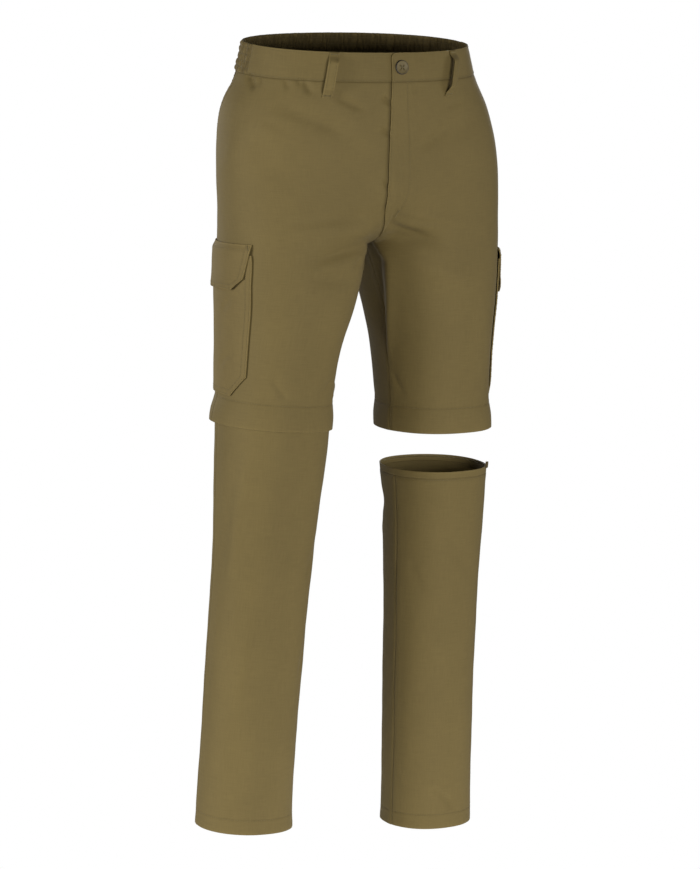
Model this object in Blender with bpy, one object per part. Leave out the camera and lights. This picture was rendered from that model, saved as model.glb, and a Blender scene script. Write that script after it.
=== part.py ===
"""Convertible zip-off trousers, worn and hollow: right leg whole, left leg zipped off.

Metres, +Z up. The front faces -Y, the wearer's left is +X, and the origin is the centre of the
waist opening. Every piece of cloth is a thin wall placed on one body surface, which is given by
a side (wearer's right or left), a turn round the body and a level below the waist.
Turn 0 is the outseam, 1 the centre front or the front inseam, -1 the centre back or inseam.
"""
import math
from collections import namedtuple

import bmesh
import bpy
import numpy as np
from mathutils import Matrix

MM = 0.001
RIGHT, LEFT = -1, 1
SIDE_NAMES = {RIGHT: "right", LEFT: "left"}

# Cloth and gaps
CLOTH = 1.5 * MM
TAPE = 1.2 * MM
BAND_WALL = 2.2 * MM
SEAM_GAP = 0.3 * MM
LAYER_GAP = 0.5 * MM
LINING_GAP = 0.95 * MM
BAG_GAP = 0.8 * MM

# Levels below the waist's top edge
BAND_BOTTOM = -38 * MM
CROTCH = -262 * MM
FRONT_RISE_CURVE = 85 * MM
BACK_RISE_CURVE = 120 * MM
SHORTS_HEM = {RIGHT: -499 * MM, LEFT: -514 * MM}
LEG_TOP = {RIGHT: -485 * MM, LEFT: -577 * MM}
LEG_HEM = {RIGHT: -1050 * MM, LEFT: -1071 * MM}
RIM_TOP = -568 * MM

# Pose of the whole garment
WAIST_TILT = 0.095
TILT_FADE = (-0.20, 0.0)
HIP_LEAN = 8 * MM
LEAN_FADE = (-0.03, -0.21)
SQUARENESS = 2.15

# Flap over the knee zip
FLAP_STAND = 3.8 * MM
OUTER_FLARE = {RIGHT: 3.4 * MM, LEFT: 0.6 * MM}
FLARE_MIDDLE, FLARE_REACH = -0.12, 0.3
FLAP_FULL, FLAP_FADE = 12 * MM, 42 * MM
ZIP_ABOVE_HEM = 27 * MM
SHORTS_TAPE_ABOVE_HEM = 14 * MM

# Fly
LAP_WIDTH = 7 * MM
LAP_LOW_WIDTH = 15 * MM
LAP_WIDENS = (-30 * MM, -175 * MM)
LAP_LIFT = LAYER_GAP + CLOTH
LAP_FADE = (0.86, 0.96)
LAP_ENDS = (-238 * MM, -198 * MM)
LAP_LIFT_ENDS = (-262 * MM, -246 * MM)
FLY_TAPE_HALF = 12 * MM
FLY_BOTTOM = -172 * MM

# Waistband
BAND_PROUD = 0.6 * MM
ELASTIC_TURN = 0.23
GATHERS = 52
GATHER_POINTS = 4
GATHER_HEIGHT = 1.15 * MM
GATHER_UNEVEN, GATHER_BEAT = 0.2, 2.3
GATHER_ENDS = 1.5

# Belt loops
LOOP_WIDTH = 12 * MM
LOOP_TOP = -1 * MM
LOOP_BOTTOM = -60 * MM
LOOP_WALL = 1.5 * MM
LOOP_SHARES = np.array([0.0, 0.07, 0.20, 0.35, 0.55, 0.72, 0.84, 0.94, 1.0])
LOOP_RISE, LOOP_FALL = (0.04, 0.24), (0.97, 0.76)
LOOP_CLEARS_BAND = (0.9, 0.6)
GATHER_CLEARANCE = 1.3 * MM

# Hip pocket opening and its facing
HIP_POCKET_BOTTOM = -166 * MM
HIP_POCKET_TURN = 0.125
FACING_UNDERLAP = 0.075
FACING_RISE = 5 * MM

# Cargo pocket and its flap
POCKET_TOP = {RIGHT: -258 * MM, LEFT: -275 * MM}
BAG_DROP = 14 * MM
BAG_HEIGHT = 188 * MM
BAG_CORNER = 27 * MM
BAG_CORNER_TURN = 0.105
BAG_FRONT_TURNS = (0.292, 0.284)
BAG_BACK_TURNS = (-0.27, -0.34)
BAG_PUFF = 3.4 * MM
PUFF_ROUNDNESS, PUFF_AT_MOUTH = 0.7, 0.12
FLAP_HEIGHT = 60 * MM
FLAP_CORNER = 15 * MM
FLAP_CORNER_TURN = 0.045
FLAP_TAPER_TURN = 0.075
FLAP_OVERHANG_TURN = 0.010
FLAP_KICK = 3.0 * MM
FLAP_KICK_STARTS = 0.55
FLAP_SEAM = 10 * MM
FLAP_MIDDLE_ROWS = np.array([0.4, 0.58])

# Button and the zip's end box
BUTTON_RADIUS = 9.5 * MM
BUTTON_HEIGHT = 2.6 * MM
BUTTON_RIM = 2.0 * MM
BUTTON_ROUND = 0.9 * MM
BUTTON_DISH = 0.8 * MM
BUTTON_HOLE_RADIUS = 0.9 * MM
BUTTON_HOLE_OFFSET = 1.9 * MM
CUTTER_DEPTH = 8 * MM
BUTTON_LEVEL = -19 * MM
BUTTON_FROM_EDGE = 13 * MM
WELD = 0.01 * MM
END_BOX = (5 * MM, 3.2 * MM, 9 * MM)
END_BOX_BEVEL = 0.6 * MM
END_BOX_TURN = 0.31
END_BOX_LEVEL = -565 * MM

# Where the body surface passes from the hips to the legs, and how far a turn runs round the cloth
CENTRE_SHARE = (0.45, 1.0)
OUTER_BLEND = (-0.10, -0.36)
SLANT_BLEND = (-0.28, -0.36)
NUDGE = 1e-3
ARC = 0.24
FOLD_TAPER = (0.3, 0.6)

# Grid densities
PANEL_COLUMNS = 15
LEG_COLUMNS = 10
LEG_ROWS = 14
POCKET_COLUMNS = 19
BAG_ROWS = 9
FACING_GRID = (9, 6)
FLY_GRID = (7, 4)
LOOP_COLUMNS = 3
PATH_POINTS = 2001
BUTTON_STEPS = 20
HOLE_STEPS = 10

TorsoSection = namedtuple("TorsoSection", "level half_width front_depth back_depth seam_deg")
TORSO = [
    TorsoSection(0.010, 0.1515, 0.1140, 0.1080, 22),
    TorsoSection(-0.038, 0.1635, 0.1180, 0.1170, 22),
    TorsoSection(-0.080, 0.1820, 0.1175, 0.1290, 24),
    TorsoSection(-0.130, 0.1935, 0.1155, 0.1390, 26),
    TorsoSection(-0.180, 0.1975, 0.1125, 0.1430, 27),
    TorsoSection(-0.230, 0.1970, 0.1085, 0.1410, 26),
    TorsoSection(-0.280, 0.1965, 0.1060, 0.1320, 22),
    TorsoSection(-0.360, 0.1965, 0.1050, 0.1200, 16),
]

LegSection = namedtuple(
    "LegSection",
    "level centre_x centre_y half_width front_depth back_depth outseam_deg inseam_deg tilt_x tilt_y",
)
RIGHT_LEG = [
    LegSection(-0.150, 0.0990, 0.008, 0.0970, 0.108, 0.112, 26, 0, 0.00, 0.00),
    LegSection(-0.262, 0.0990, 0.008, 0.0970, 0.104, 0.112, 22, 0, 0.00, 0.00),
    LegSection(-0.330, 0.1075, 0.000, 0.0890, 0.095, 0.102, 17, 10, 0.03, 0.01),
    LegSection(-0.400, 0.1225, -0.004, 0.0765, 0.086, 0.093, 14, 14, 0.06, 0.02),
    LegSection(-0.470, 0.1300, -0.004, 0.0740, 0.078, 0.085, 14, 14, 0.07, 0.03),
    LegSection(-0.535, 0.1330, 0.000, 0.0720, 0.074, 0.080, 14, 14, 0.07, 0.03),
    LegSection(-0.600, 0.1345, 0.008, 0.0688, 0.069, 0.075, 14, 14, 0.07, 0.04),
    LegSection(-0.700, 0.1360, 0.022, 0.0650, 0.063, 0.069, 14, 14, 0.07, 0.05),
    LegSection(-0.800, 0.1390, 0.036, 0.0645, 0.060, 0.064, 14, 14, 0.07, 0.06),
    LegSection(-0.900, 0.1420, 0.048, 0.0640, 0.058, 0.060, 14, 14, 0.06, 0.06),
    LegSection(-1.000, 0.1450, 0.058, 0.0645, 0.057, 0.058, 14, 14, 0.05, 0.06),
    LegSection(-1.080, 0.1455, 0.064, 0.0670, 0.057, 0.058, 14, 14, 0.05, 0.06),
]
LEFT_LEG = [
    LegSection(-0.150, 0.0990, 0.008, 0.0970, 0.108, 0.112, 26, 0, 0.00, 0.00),
    LegSection(-0.262, 0.0990, 0.008, 0.0970, 0.104, 0.112, 22, 0, 0.00, 0.00),
    LegSection(-0.330, 0.1015, 0.000, 0.0885, 0.095, 0.102, 17, 10, 0.01, 0.01),
    LegSection(-0.400, 0.1040, -0.004, 0.0775, 0.086, 0.093, 14, 14, 0.00, 0.02),
    LegSection(-0.470, 0.1065, -0.004, 0.0740, 0.078, 0.085, 14, 14, 0.00, 0.03),
    LegSection(-0.535, 0.1100, 0.000, 0.0720, 0.074, 0.080, 14, 14, 0.00, 0.03),
    LegSection(-0.600, 0.1155, 0.008, 0.0680, 0.069, 0.075, 14, 14, 0.00, 0.04),
    LegSection(-0.700, 0.1205, 0.022, 0.0640, 0.063, 0.069, 14, 14, 0.00, 0.05),
    LegSection(-0.800, 0.1250, 0.036, 0.0620, 0.060, 0.064, 14, 14, 0.00, 0.06),
    LegSection(-0.900, 0.1285, 0.048, 0.0617, 0.058, 0.060, 14, 14, 0.00, 0.06),
    LegSection(-1.000, 0.1320, 0.058, 0.0616, 0.057, 0.058, 14, 14, 0.00, 0.06),
    LegSection(-1.080, 0.1330, 0.064, 0.0621, 0.057, 0.058, 14, 14, 0.00, 0.06),
]

# Largest folds: a line from a to b, its half width, and its height, below zero for a trough
Fold = namedtuple("Fold", "side turn_a level_a turn_b level_b reach height")
FOLDS = [
    Fold(LEFT, 0.99, -0.206, 0.50, -0.242, 0.009, 0.0045),
    Fold(LEFT, 0.99, -0.226, 0.55, -0.272, 0.008, -0.0045),
    Fold(LEFT, 0.95, -0.262, 0.50, -0.315, 0.013, 0.0030),
    Fold(LEFT, 0.45, -0.085, 0.90, -0.140, 0.014, -0.0022),
    Fold(RIGHT, 0.98, -0.206, 0.20, -0.250, 0.016, 0.0045),
    Fold(RIGHT, 0.97, -0.236, 0.45, -0.285, 0.012, -0.0035),
    Fold(RIGHT, 0.56, -0.070, 0.90, -0.175, 0.016, -0.0025),
    Fold(RIGHT, 0.50, -0.075, 0.16, -0.180, 0.018, 0.0025),
    Fold(RIGHT, 0.31, -0.520, 0.19, -0.740, 0.013, 0.0030),
    Fold(RIGHT, 0.80, -0.560, 0.45, -0.640, 0.015, -0.0025),
    Fold(LEFT, 0.75, -0.640, 0.35, -0.720, 0.015, -0.0025),
    Fold(RIGHT, -0.97, -0.230, -0.45, -0.285, 0.013, -0.0050),
    Fold(LEFT, -0.97, -0.238, -0.40, -0.300, 0.012, -0.0045),
    Fold(RIGHT, -0.95, -0.268, -0.50, -0.320, 0.014, 0.0045),
    Fold(LEFT, -0.94, -0.275, -0.52, -0.335, 0.013, 0.0040),
    Fold(RIGHT, -0.90, -0.560, -0.30, -0.535, 0.012, -0.0045),
    Fold(RIGHT, -0.80, -0.600, -0.35, -0.625, 0.014, 0.0035),
    Fold(LEFT, -0.85, -0.615, -0.30, -0.640, 0.013, -0.0040),
    Fold(LEFT, -0.75, -0.665, -0.35, -0.650, 0.014, 0.0030),
]

SHORTS_LEVELS = [
    -0.052, -0.070, -0.090, -0.112, -0.136, -0.158, -0.178, -0.196, -0.214, -0.230, -0.246,
    -0.262, -0.280, -0.300, -0.325, -0.352, -0.380, -0.410, -0.440,
]

# Rows of the flap over the zip, above the shorts' lower edge
FLAP_ROWS = np.array([42, 34, 27, 18, 8, 0]) * MM

OLIVE, SHADED_OLIVE = "#70633f", "#5b5034"
DARK_TAPE, BUTTON_BROWN, BOX_BLACK = "#3a3524", "#6b5d3a", "#2b281e"
CLOTH_ROUGHNESS, PLASTIC_ROUGHNESS = 0.85, 0.4


def smooth(start, end, value):
    """Ease from 0 at start to 1 at end."""
    t = np.clip((value - start) / (end - start), 0, 1)
    return t * t * (3 - 2 * t)


def column(table, name, level):
    """Read one named column of a section table at any level, on a smooth curve."""
    heights = np.array([row.level for row in table])[::-1]
    values = np.array([getattr(row, name) for row in table])[::-1]
    level = np.clip(level, heights[0], heights[-1])
    slope = np.gradient(values, heights)
    low = np.clip(np.searchsorted(heights, level, side="right") - 1, 0, len(heights) - 2)
    step = heights[low + 1] - heights[low]
    t = (level - heights[low]) / step
    start = (1 + 2 * t) * (1 - t) ** 2 * values[low] + t * (1 - t) ** 2 * step * slope[low]
    end = t * t * (3 - 2 * t) * values[low + 1] + t * t * (t - 1) * step * slope[low + 1]
    return start + end


def oval(angle, half_width, front, back):
    """Point of a rounded oval; angle 0 is the outer side and 90 degrees the front."""
    c, s = np.cos(angle), np.sin(angle)
    depth = np.where(s > 0, front, back)
    radius = (np.abs(c / half_width) ** SQUARENESS + np.abs(s / depth) ** SQUARENESS) ** (-1 / SQUARENESS)
    return radius * c, -radius * s


def lean(level):
    """Sideways shift of the hips and legs from the waist."""
    return HIP_LEAN * smooth(*LEAN_FADE, level)


def leg_point(table, turn, level):
    """Point of one leg's oval, with the leg's own slant added to the height."""
    centre_x, centre_y = column(table, "centre_x", level), column(table, "centre_y", level)
    out = np.radians(column(table, "outseam_deg", level))
    inner = np.radians(column(table, "inseam_deg", level))
    angle = np.where(turn >= 0, turn * (math.pi - inner + out), turn * (math.pi + inner - out)) - out
    x, y = oval(angle, column(table, "half_width", level), column(table, "front_depth", level),
                column(table, "back_depth", level))
    slant = column(table, "tilt_x", level) * x + column(table, "tilt_y", level) * y
    return x + centre_x, y + centre_y, slant * smooth(*SLANT_BLEND, level)


def unwrap(side, turn):
    """Carry a turn past the centre front or back over to the other side."""
    past = np.abs(turn) > 1
    return np.where(past, -side, side), np.where(past, np.sign(turn) * 2 - turn, turn)


def skin(side, turn, level):
    """Point of the body surface that the cloth follows."""
    turn, level = np.broadcast_arrays(np.asarray(turn, float), np.asarray(level, float))
    side, turn = unwrap(side, turn)
    seam = np.radians(column(TORSO, "seam_deg", level))
    quarter = math.pi / 2
    angle = np.where(turn >= 0, turn * (quarter + seam), turn * (quarter - seam)) - seam
    torso_x, torso_y = oval(angle, column(TORSO, "half_width", level),
                            column(TORSO, "front_depth", level), column(TORSO, "back_depth", level))
    legs = [leg_point(table, turn, level) for table in (RIGHT_LEG, LEFT_LEG)]
    leg_x, leg_y, slant = (np.where(side < 0, right, left) for right, left in zip(*legs))

    rise = np.where(turn >= 0, FRONT_RISE_CURVE, BACK_RISE_CURVE)
    rise_top = CROTCH + rise
    swing = np.clip((rise_top - level) / rise, 0, 1) * math.pi / 2
    near_centre = smooth(*CENTRE_SHARE, np.abs(turn))
    outer_share = smooth(*OUTER_BLEND, level)
    leg_share = outer_share + (1 - np.cos(swing) - outer_share) * near_centre
    x = (1 - leg_share) * torso_x + leg_share * leg_x
    y = (1 - leg_share) * torso_y + leg_share * leg_y
    on_curve = (level > CROTCH) & (level < rise_top)
    centre_z = np.where(on_curve, rise_top - rise * np.sin(swing), level)
    z = level + (centre_z - level) * near_centre + slant
    z = z + WAIST_TILT * y * smooth(*TILT_FADE, level)
    return np.stack([side * x + lean(level), y, z], -1)


def outward(side, turn, level):
    """Unit normal of the body surface, pointing away from the body."""
    side, turn = unwrap(side, np.asarray(turn, float))
    high_turn, low_turn = np.minimum(turn + NUDGE, 1), np.maximum(turn - NUDGE, -1)
    round_body = skin(side, high_turn, level) - skin(side, low_turn, level)
    up_body = skin(side, turn, level + NUDGE) - skin(side, turn, level - NUDGE)
    normal = -np.cross(round_body, up_body) * np.expand_dims(side, -1)
    return normal / np.linalg.norm(normal, axis=-1, keepdims=True)


def turn_for(side, turn, level, distance):
    """Change of turn that covers a distance along the cloth."""
    inside = np.clip(turn, -1 + NUDGE, 1 - NUDGE)
    step = skin(side, inside + NUDGE, level) - skin(side, inside - NUDGE, level)
    return distance * 2 * NUDGE / np.linalg.norm(step, axis=-1)


def relief(side, turn, level):
    """Height of the large folds over the body surface."""
    side, turn = unwrap(side, turn)
    height = np.zeros(np.broadcast(turn, level).shape)
    for fold in FOLDS:
        run = np.array([(fold.turn_b - fold.turn_a) * ARC, fold.level_b - fold.level_a])
        across, down = (turn - fold.turn_a) * ARC, level - fold.level_a
        along = np.clip((across * run[0] + down * run[1]) / (run @ run), 0, 1)
        gap = np.hypot(across - along * run[0], down - along * run[1])
        taper = smooth(0, FOLD_TAPER[0], along) * smooth(1, FOLD_TAPER[1], along)
        height = height + (side == fold.side) * fold.height * taper * np.exp(-(gap / fold.reach) ** 2)
    return height


def place(side, turn, level, lift):
    """Points on the folded cloth, moved out by lift and kept off the centre plane."""
    point = skin(side, turn, level)
    point = point + outward(side, turn, level) * np.expand_dims(relief(side, turn, level) + lift, -1)
    centre = lean(level)
    own = np.maximum(side * (point[..., 0] - centre), SEAM_GAP / 2)
    point[..., 0] = np.where(np.abs(turn) > 1, point[..., 0], side * own + centre)
    return point


def knee_flare(side, turn, level):
    """How far the shorts' lower edge stands off the leg, so that it covers the zip."""
    above = level - SHORTS_HEM[side]
    near_hem = 1 - smooth(FLAP_FULL, FLAP_FADE, above)
    outer = OUTER_FLARE[side] * np.exp(-((turn - FLARE_MIDDLE) / FLARE_REACH) ** 2)
    return (FLAP_STAND + outer * smooth(FLAP_FADE, 0.0, above)) * near_hem


def cloth_material(name, colour, roughness=CLOTH_ROUGHNESS):
    """A Principled material from an sRGB hex colour."""
    channels = [int(colour[i:i + 2], 16) / 255 for i in (1, 3, 5)]
    linear = [c / 12.92 if c <= 0.04045 else ((c + 0.055) / 1.055) ** 2.4 for c in channels]
    material = bpy.data.materials.new(name)
    material.use_nodes = True
    shader = material.node_tree.nodes["Principled BSDF"]
    shader.inputs["Base Color"].default_value = (*linear, 1)
    shader.inputs["Roughness"].default_value = roughness
    shader.inputs["Metallic"].default_value = 0
    return material


def add_object(name, mesh, colour, roughness=CLOTH_ROUGHNESS, matrix=None):
    """Link a mesh as a named object under the garment's empty."""
    mesh.materials.append(cloth_material(name, colour, roughness))
    mesh.shade_smooth()
    piece = bpy.data.objects.new(name, mesh)
    bpy.context.scene.collection.objects.link(piece)
    piece.parent = bpy.data.objects["trousers"]
    if matrix is not None:
        piece.matrix_world = matrix
    return piece


def add_wall(name, outer, inner, colour, closed=False, roughness=CLOTH_ROUGHNESS):
    """Close two grids of points into one wall; closed joins the last column to the first."""
    rows, columns = outer.shape[:2]
    work = bmesh.new()
    faces = [[[work.verts.new(p) for p in row] for row in grid] for grid in (outer, inner)]
    last = columns if closed else columns - 1
    for grid in faces:
        for r in range(rows - 1):
            for c in range(last):
                n = (c + 1) % columns
                work.faces.new((grid[r][c], grid[r][n], grid[r + 1][n], grid[r + 1][c]))
    front, back = faces
    for r in (0, rows - 1):
        for c in range(last):
            n = (c + 1) % columns
            work.faces.new((front[r][c], front[r][n], back[r][n], back[r][c]))
    if not closed:
        for c in (0, columns - 1):
            for r in range(rows - 1):
                work.faces.new((front[r][c], front[r + 1][c], back[r + 1][c], back[r][c]))
    bmesh.ops.recalc_face_normals(work, faces=work.faces)
    mesh = bpy.data.meshes.new(name)
    work.to_mesh(mesh)
    work.free()
    return add_object(name, mesh, colour, roughness)


def add_cloth(name, side, turn, level, lift=0.0, wall=CLOTH, colour=OLIVE, closed=False):
    """A wall of cloth on the body surface: its outer face at lift, its inner face below."""
    turn, level = np.broadcast_arrays(turn, level)
    outer = place(side, turn, level, lift)
    inner = place(side, turn, level, lift - wall)
    return add_wall(name, outer, inner, colour, closed)


def rows_and_columns(levels, starts, ends, count):
    """Grid of turns running from starts to ends at each level, with the levels to match."""
    share = np.linspace(0, 1, count)
    turn = starts[:, None] + (ends - starts)[:, None] * share[None, :]
    return turn, np.repeat(levels[:, None], count, axis=1)


def panel_ends(side, levels, first, last):
    """Turns of a panel's two edges, half a seam gap inside its seams."""
    half_gap = SEAM_GAP / 2
    start = first + np.sign(last - first) * turn_for(side, first, levels, half_gap)
    end = last - np.sign(last - first) * turn_for(side, last, levels, half_gap)
    return start, end


def hip_opening(levels):
    """Turn of the front panel's slanting pocket edge, which runs back into the outseam."""
    return HIP_POCKET_TURN * smooth(HIP_POCKET_BOTTOM, BAND_BOTTOM, levels)


def front_panel_start(side, levels, seam_start):
    """The front panel's outer edge: the pocket slant at the top, the outseam below it."""
    return np.maximum(seam_start, hip_opening(levels))


def lap_lift(turn, level):
    """The left front stands over the right one along the fly."""
    return LAP_LIFT * smooth(*LAP_FADE, turn) * smooth(*LAP_LIFT_ENDS, level)


def lap_end(levels, plain_end):
    """The left front's fly edge, which passes the centre and falls back to it at the bottom."""
    width = LAP_WIDTH + (LAP_LOW_WIDTH - LAP_WIDTH) * smooth(*LAP_WIDENS, levels)
    past = 1 + turn_for(LEFT, 1.0, levels, width)
    return plain_end + (past - plain_end) * smooth(*LAP_ENDS, levels)


def build_shorts(side):
    """Front and back panels of one side, from under the waistband to the flap's edge."""
    hem = SHORTS_HEM[side]
    top = BAND_BOTTOM - SEAM_GAP / 2
    levels = np.array([top, *SHORTS_LEVELS, *(hem + FLAP_ROWS)])
    name = SIDE_NAMES[side]

    start, end = panel_ends(side, levels, 0.0, 1.0)
    start = front_panel_start(side, levels, start)
    if side == LEFT:
        end = lap_end(levels, end)
    turn, level = rows_and_columns(levels, start, end, PANEL_COLUMNS)
    lift = knee_flare(side, turn, level)
    if side == LEFT:
        lift = lift + lap_lift(turn, level)
    add_cloth("front_" + name, side, turn, level, lift)

    start, end = panel_ends(side, levels, 0.0, -1.0)
    turn, level = rows_and_columns(levels, start, end, PANEL_COLUMNS)
    add_cloth("back_" + name, side, turn, level, knee_flare(side, turn, level))


def build_lower_leg(side):
    """Front and back panels of the part of the leg below the zip."""
    levels = np.linspace(LEG_TOP[side], LEG_HEM[side], LEG_ROWS)
    for part, last in (("front", 1.0), ("back", -1.0)):
        start, end = panel_ends(side, levels, 0.0, last)
        turn, level = rows_and_columns(levels, start, end, LEG_COLUMNS)
        add_cloth(f"lower_{part}_{SIDE_NAMES[side]}", side, turn, level)


def ring_turns(count):
    """Turns right round a leg, on the same lines as the panels' columns."""
    half = np.linspace(0, 1, count)
    return np.concatenate([half, -half[-2:0:-1]])


def build_tape_ring(name, side, top, bottom, count, colour=DARK_TAPE):
    """A zip tape right round one leg, flush with the lower leg's cloth."""
    turn, level = np.meshgrid(ring_turns(count), np.array([top, bottom]))
    add_cloth(name, side, turn, level, 0.0, TAPE, colour, closed=True)


def build_knee_zips():
    """The closed zip under the right flap, and the left one's two parted tapes."""
    right_top = SHORTS_HEM[RIGHT] + ZIP_ABOVE_HEM
    left_top = SHORTS_HEM[LEFT] + ZIP_ABOVE_HEM
    left_bottom = SHORTS_HEM[LEFT] + SHORTS_TAPE_ABOVE_HEM
    build_tape_ring("knee_zip_right", RIGHT, right_top, LEG_TOP[RIGHT] + SEAM_GAP, PANEL_COLUMNS)
    build_tape_ring("knee_zip_left_upper", LEFT, left_top, left_bottom, PANEL_COLUMNS)
    build_tape_ring("knee_zip_left_lower", LEFT, RIM_TOP, LEG_TOP[LEFT] + SEAM_GAP, LEG_COLUMNS, OLIVE)


def build_front_bands():
    """Smooth front halves of the waistband; the left one laps over the right."""
    levels = np.array([0.0, BAND_BOTTOM / 2, BAND_BOTTOM + SEAM_GAP / 2])
    for side in (RIGHT, LEFT):
        start, end = panel_ends(side, levels, ELASTIC_TURN, 1.0)
        if side == LEFT:
            end = 1 + turn_for(LEFT, 1.0, levels, LAP_WIDTH)
        turn, level = rows_and_columns(levels, start, end, PANEL_COLUMNS)
        lift = BAND_PROUD + (side == LEFT) * (BAND_WALL + LAYER_GAP) * smooth(*LAP_FADE, turn)
        add_cloth("waistband_front_" + SIDE_NAMES[side], side, turn, level, lift, BAND_WALL)


def even_path(count):
    """Points spaced evenly round the elastic, from the right side by the back to the left."""
    start = ELASTIC_TURN - float(turn_for(RIGHT, ELASTIC_TURN, BAND_BOTTOM / 2, SEAM_GAP / 2))
    fine = np.linspace(start, -2 - start, PATH_POINTS)
    points = skin(RIGHT, fine, np.full_like(fine, BAND_BOTTOM / 2))
    run = np.concatenate([[0], np.cumsum(np.linalg.norm(np.diff(points, axis=0), axis=1))])
    return np.interp(np.linspace(0, run[-1], count), run, fine)


def build_elastic_band():
    """The gathered back of the waistband, waved on both faces."""
    columns = GATHERS * GATHER_POINTS + 1
    turn = even_path(columns)
    wave = np.arange(columns) / GATHER_POINTS
    uneven = 1 - GATHER_UNEVEN * (1 - np.sin(GATHER_BEAT * wave))
    ends = smooth(0, GATHER_ENDS, wave) * smooth(GATHERS, GATHERS - GATHER_ENDS, wave)
    ripple = GATHER_HEIGHT * uneven * ends * np.sin(2 * math.pi * wave)
    turn, level = np.meshgrid(turn, np.array([0.0, BAND_BOTTOM / 2, BAND_BOTTOM + SEAM_GAP / 2]))
    lift = BAND_PROUD + ripple[None, :]
    add_cloth("waistband_back", RIGHT, turn, level, lift, BAND_WALL, SHADED_OLIVE)


def build_fly_zip():
    """The plain zip tape behind the fly."""
    levels = np.linspace(BAND_BOTTOM - SEAM_GAP / 2, FLY_BOTTOM, FLY_GRID[0])
    reach = turn_for(RIGHT, 1.0, levels, FLY_TAPE_HALF)
    turn, level = rows_and_columns(levels, 1 - reach, 1 + reach, FLY_GRID[1])
    add_cloth("fly_zip", RIGHT, turn, level, -CLOTH - LINING_GAP, TAPE, DARK_TAPE)


Loop = namedtuple("Loop", "name side top_turn bottom_turn clearance stand")
LOOPS = [
    Loop("belt_loop_front_right", RIGHT, 0.655, 0.625, 0.0, 0.0072),
    Loop("belt_loop_front_left", LEFT, 0.600, 0.670, 0.0, 0.0072),
    Loop("belt_loop_back_right", RIGHT, -0.340, -0.340, GATHER_CLEARANCE, 0.0084),
    Loop("belt_loop_back_left", LEFT, -0.340, -0.340, GATHER_CLEARANCE, 0.0084),
    Loop("belt_loop_centre_back", RIGHT, -1.0, -1.0, GATHER_CLEARANCE, 0.0084),
]


def build_belt_loops():
    """Belt loops: sewn flat at both ends, standing off the band between them."""
    share = LOOP_SHARES
    for loop in LOOPS:
        levels = LOOP_BOTTOM * share + LOOP_TOP * (1 - share)
        stand = smooth(*LOOP_RISE, share) * smooth(*LOOP_FALL, share)
        foot = (BAND_PROUD + loop.clearance) * smooth(*LOOP_CLEARS_BAND, share) + LAYER_GAP
        inner_lift = foot + (loop.stand - foot) * stand
        middle = loop.top_turn + (loop.bottom_turn - loop.top_turn) * share
        half = turn_for(loop.side, middle, levels, LOOP_WIDTH / 2)
        turn, level = rows_and_columns(levels, middle - half, middle + half, LOOP_COLUMNS)
        outer_lift = (inner_lift + LOOP_WALL)[:, None]
        add_cloth(loop.name, loop.side, turn, level, outer_lift, LOOP_WALL)


def build_hip_facing(side):
    """The facing that shows in the slanting hip pocket's opening."""
    levels = np.linspace(BAND_BOTTOM - SEAM_GAP / 2, HIP_POCKET_BOTTOM + FACING_RISE, FACING_GRID[0])
    start = turn_for(side, 0.0, levels, SEAM_GAP / 2)
    end = hip_opening(levels) + FACING_UNDERLAP
    turn, level = rows_and_columns(levels, start, end, FACING_GRID[1])
    add_cloth("hip_facing_" + SIDE_NAMES[side], side, turn, level, -CLOTH - LINING_GAP, CLOTH, SHADED_OLIVE)


def bag_edges(side, level):
    """Front and back edges of the cargo pocket's bag, with its cut-off lower corners."""
    down = np.clip((POCKET_TOP[side] - BAG_DROP - level) / BAG_HEIGHT, 0, 1)
    above_bottom = (1 - down) * BAG_HEIGHT
    cut = BAG_CORNER_TURN * (1 - np.clip(above_bottom / BAG_CORNER, 0, 1))
    front = BAG_FRONT_TURNS[0] + (BAG_FRONT_TURNS[1] - BAG_FRONT_TURNS[0]) * down - cut
    back = BAG_BACK_TURNS[0] + (BAG_BACK_TURNS[1] - BAG_BACK_TURNS[0]) * down + cut
    return front, back


def bag_lift(side, turn, level):
    """Outer height of the bag over the panel: flat at its edges and full in the middle."""
    front, back = bag_edges(side, level)
    across = np.clip((turn - back) / (front - back), 0, 1)
    top = POCKET_TOP[side] - BAG_DROP
    down = np.clip((top - level) / BAG_HEIGHT, 0, 1)
    drop = PUFF_AT_MOUTH + (1 - PUFF_AT_MOUTH) * down
    full = (np.sin(math.pi * across) * np.sin(math.pi * drop)) ** PUFF_ROUNDNESS
    return knee_flare(side, turn, level) + BAG_GAP + CLOTH + BAG_PUFF * full


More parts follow.
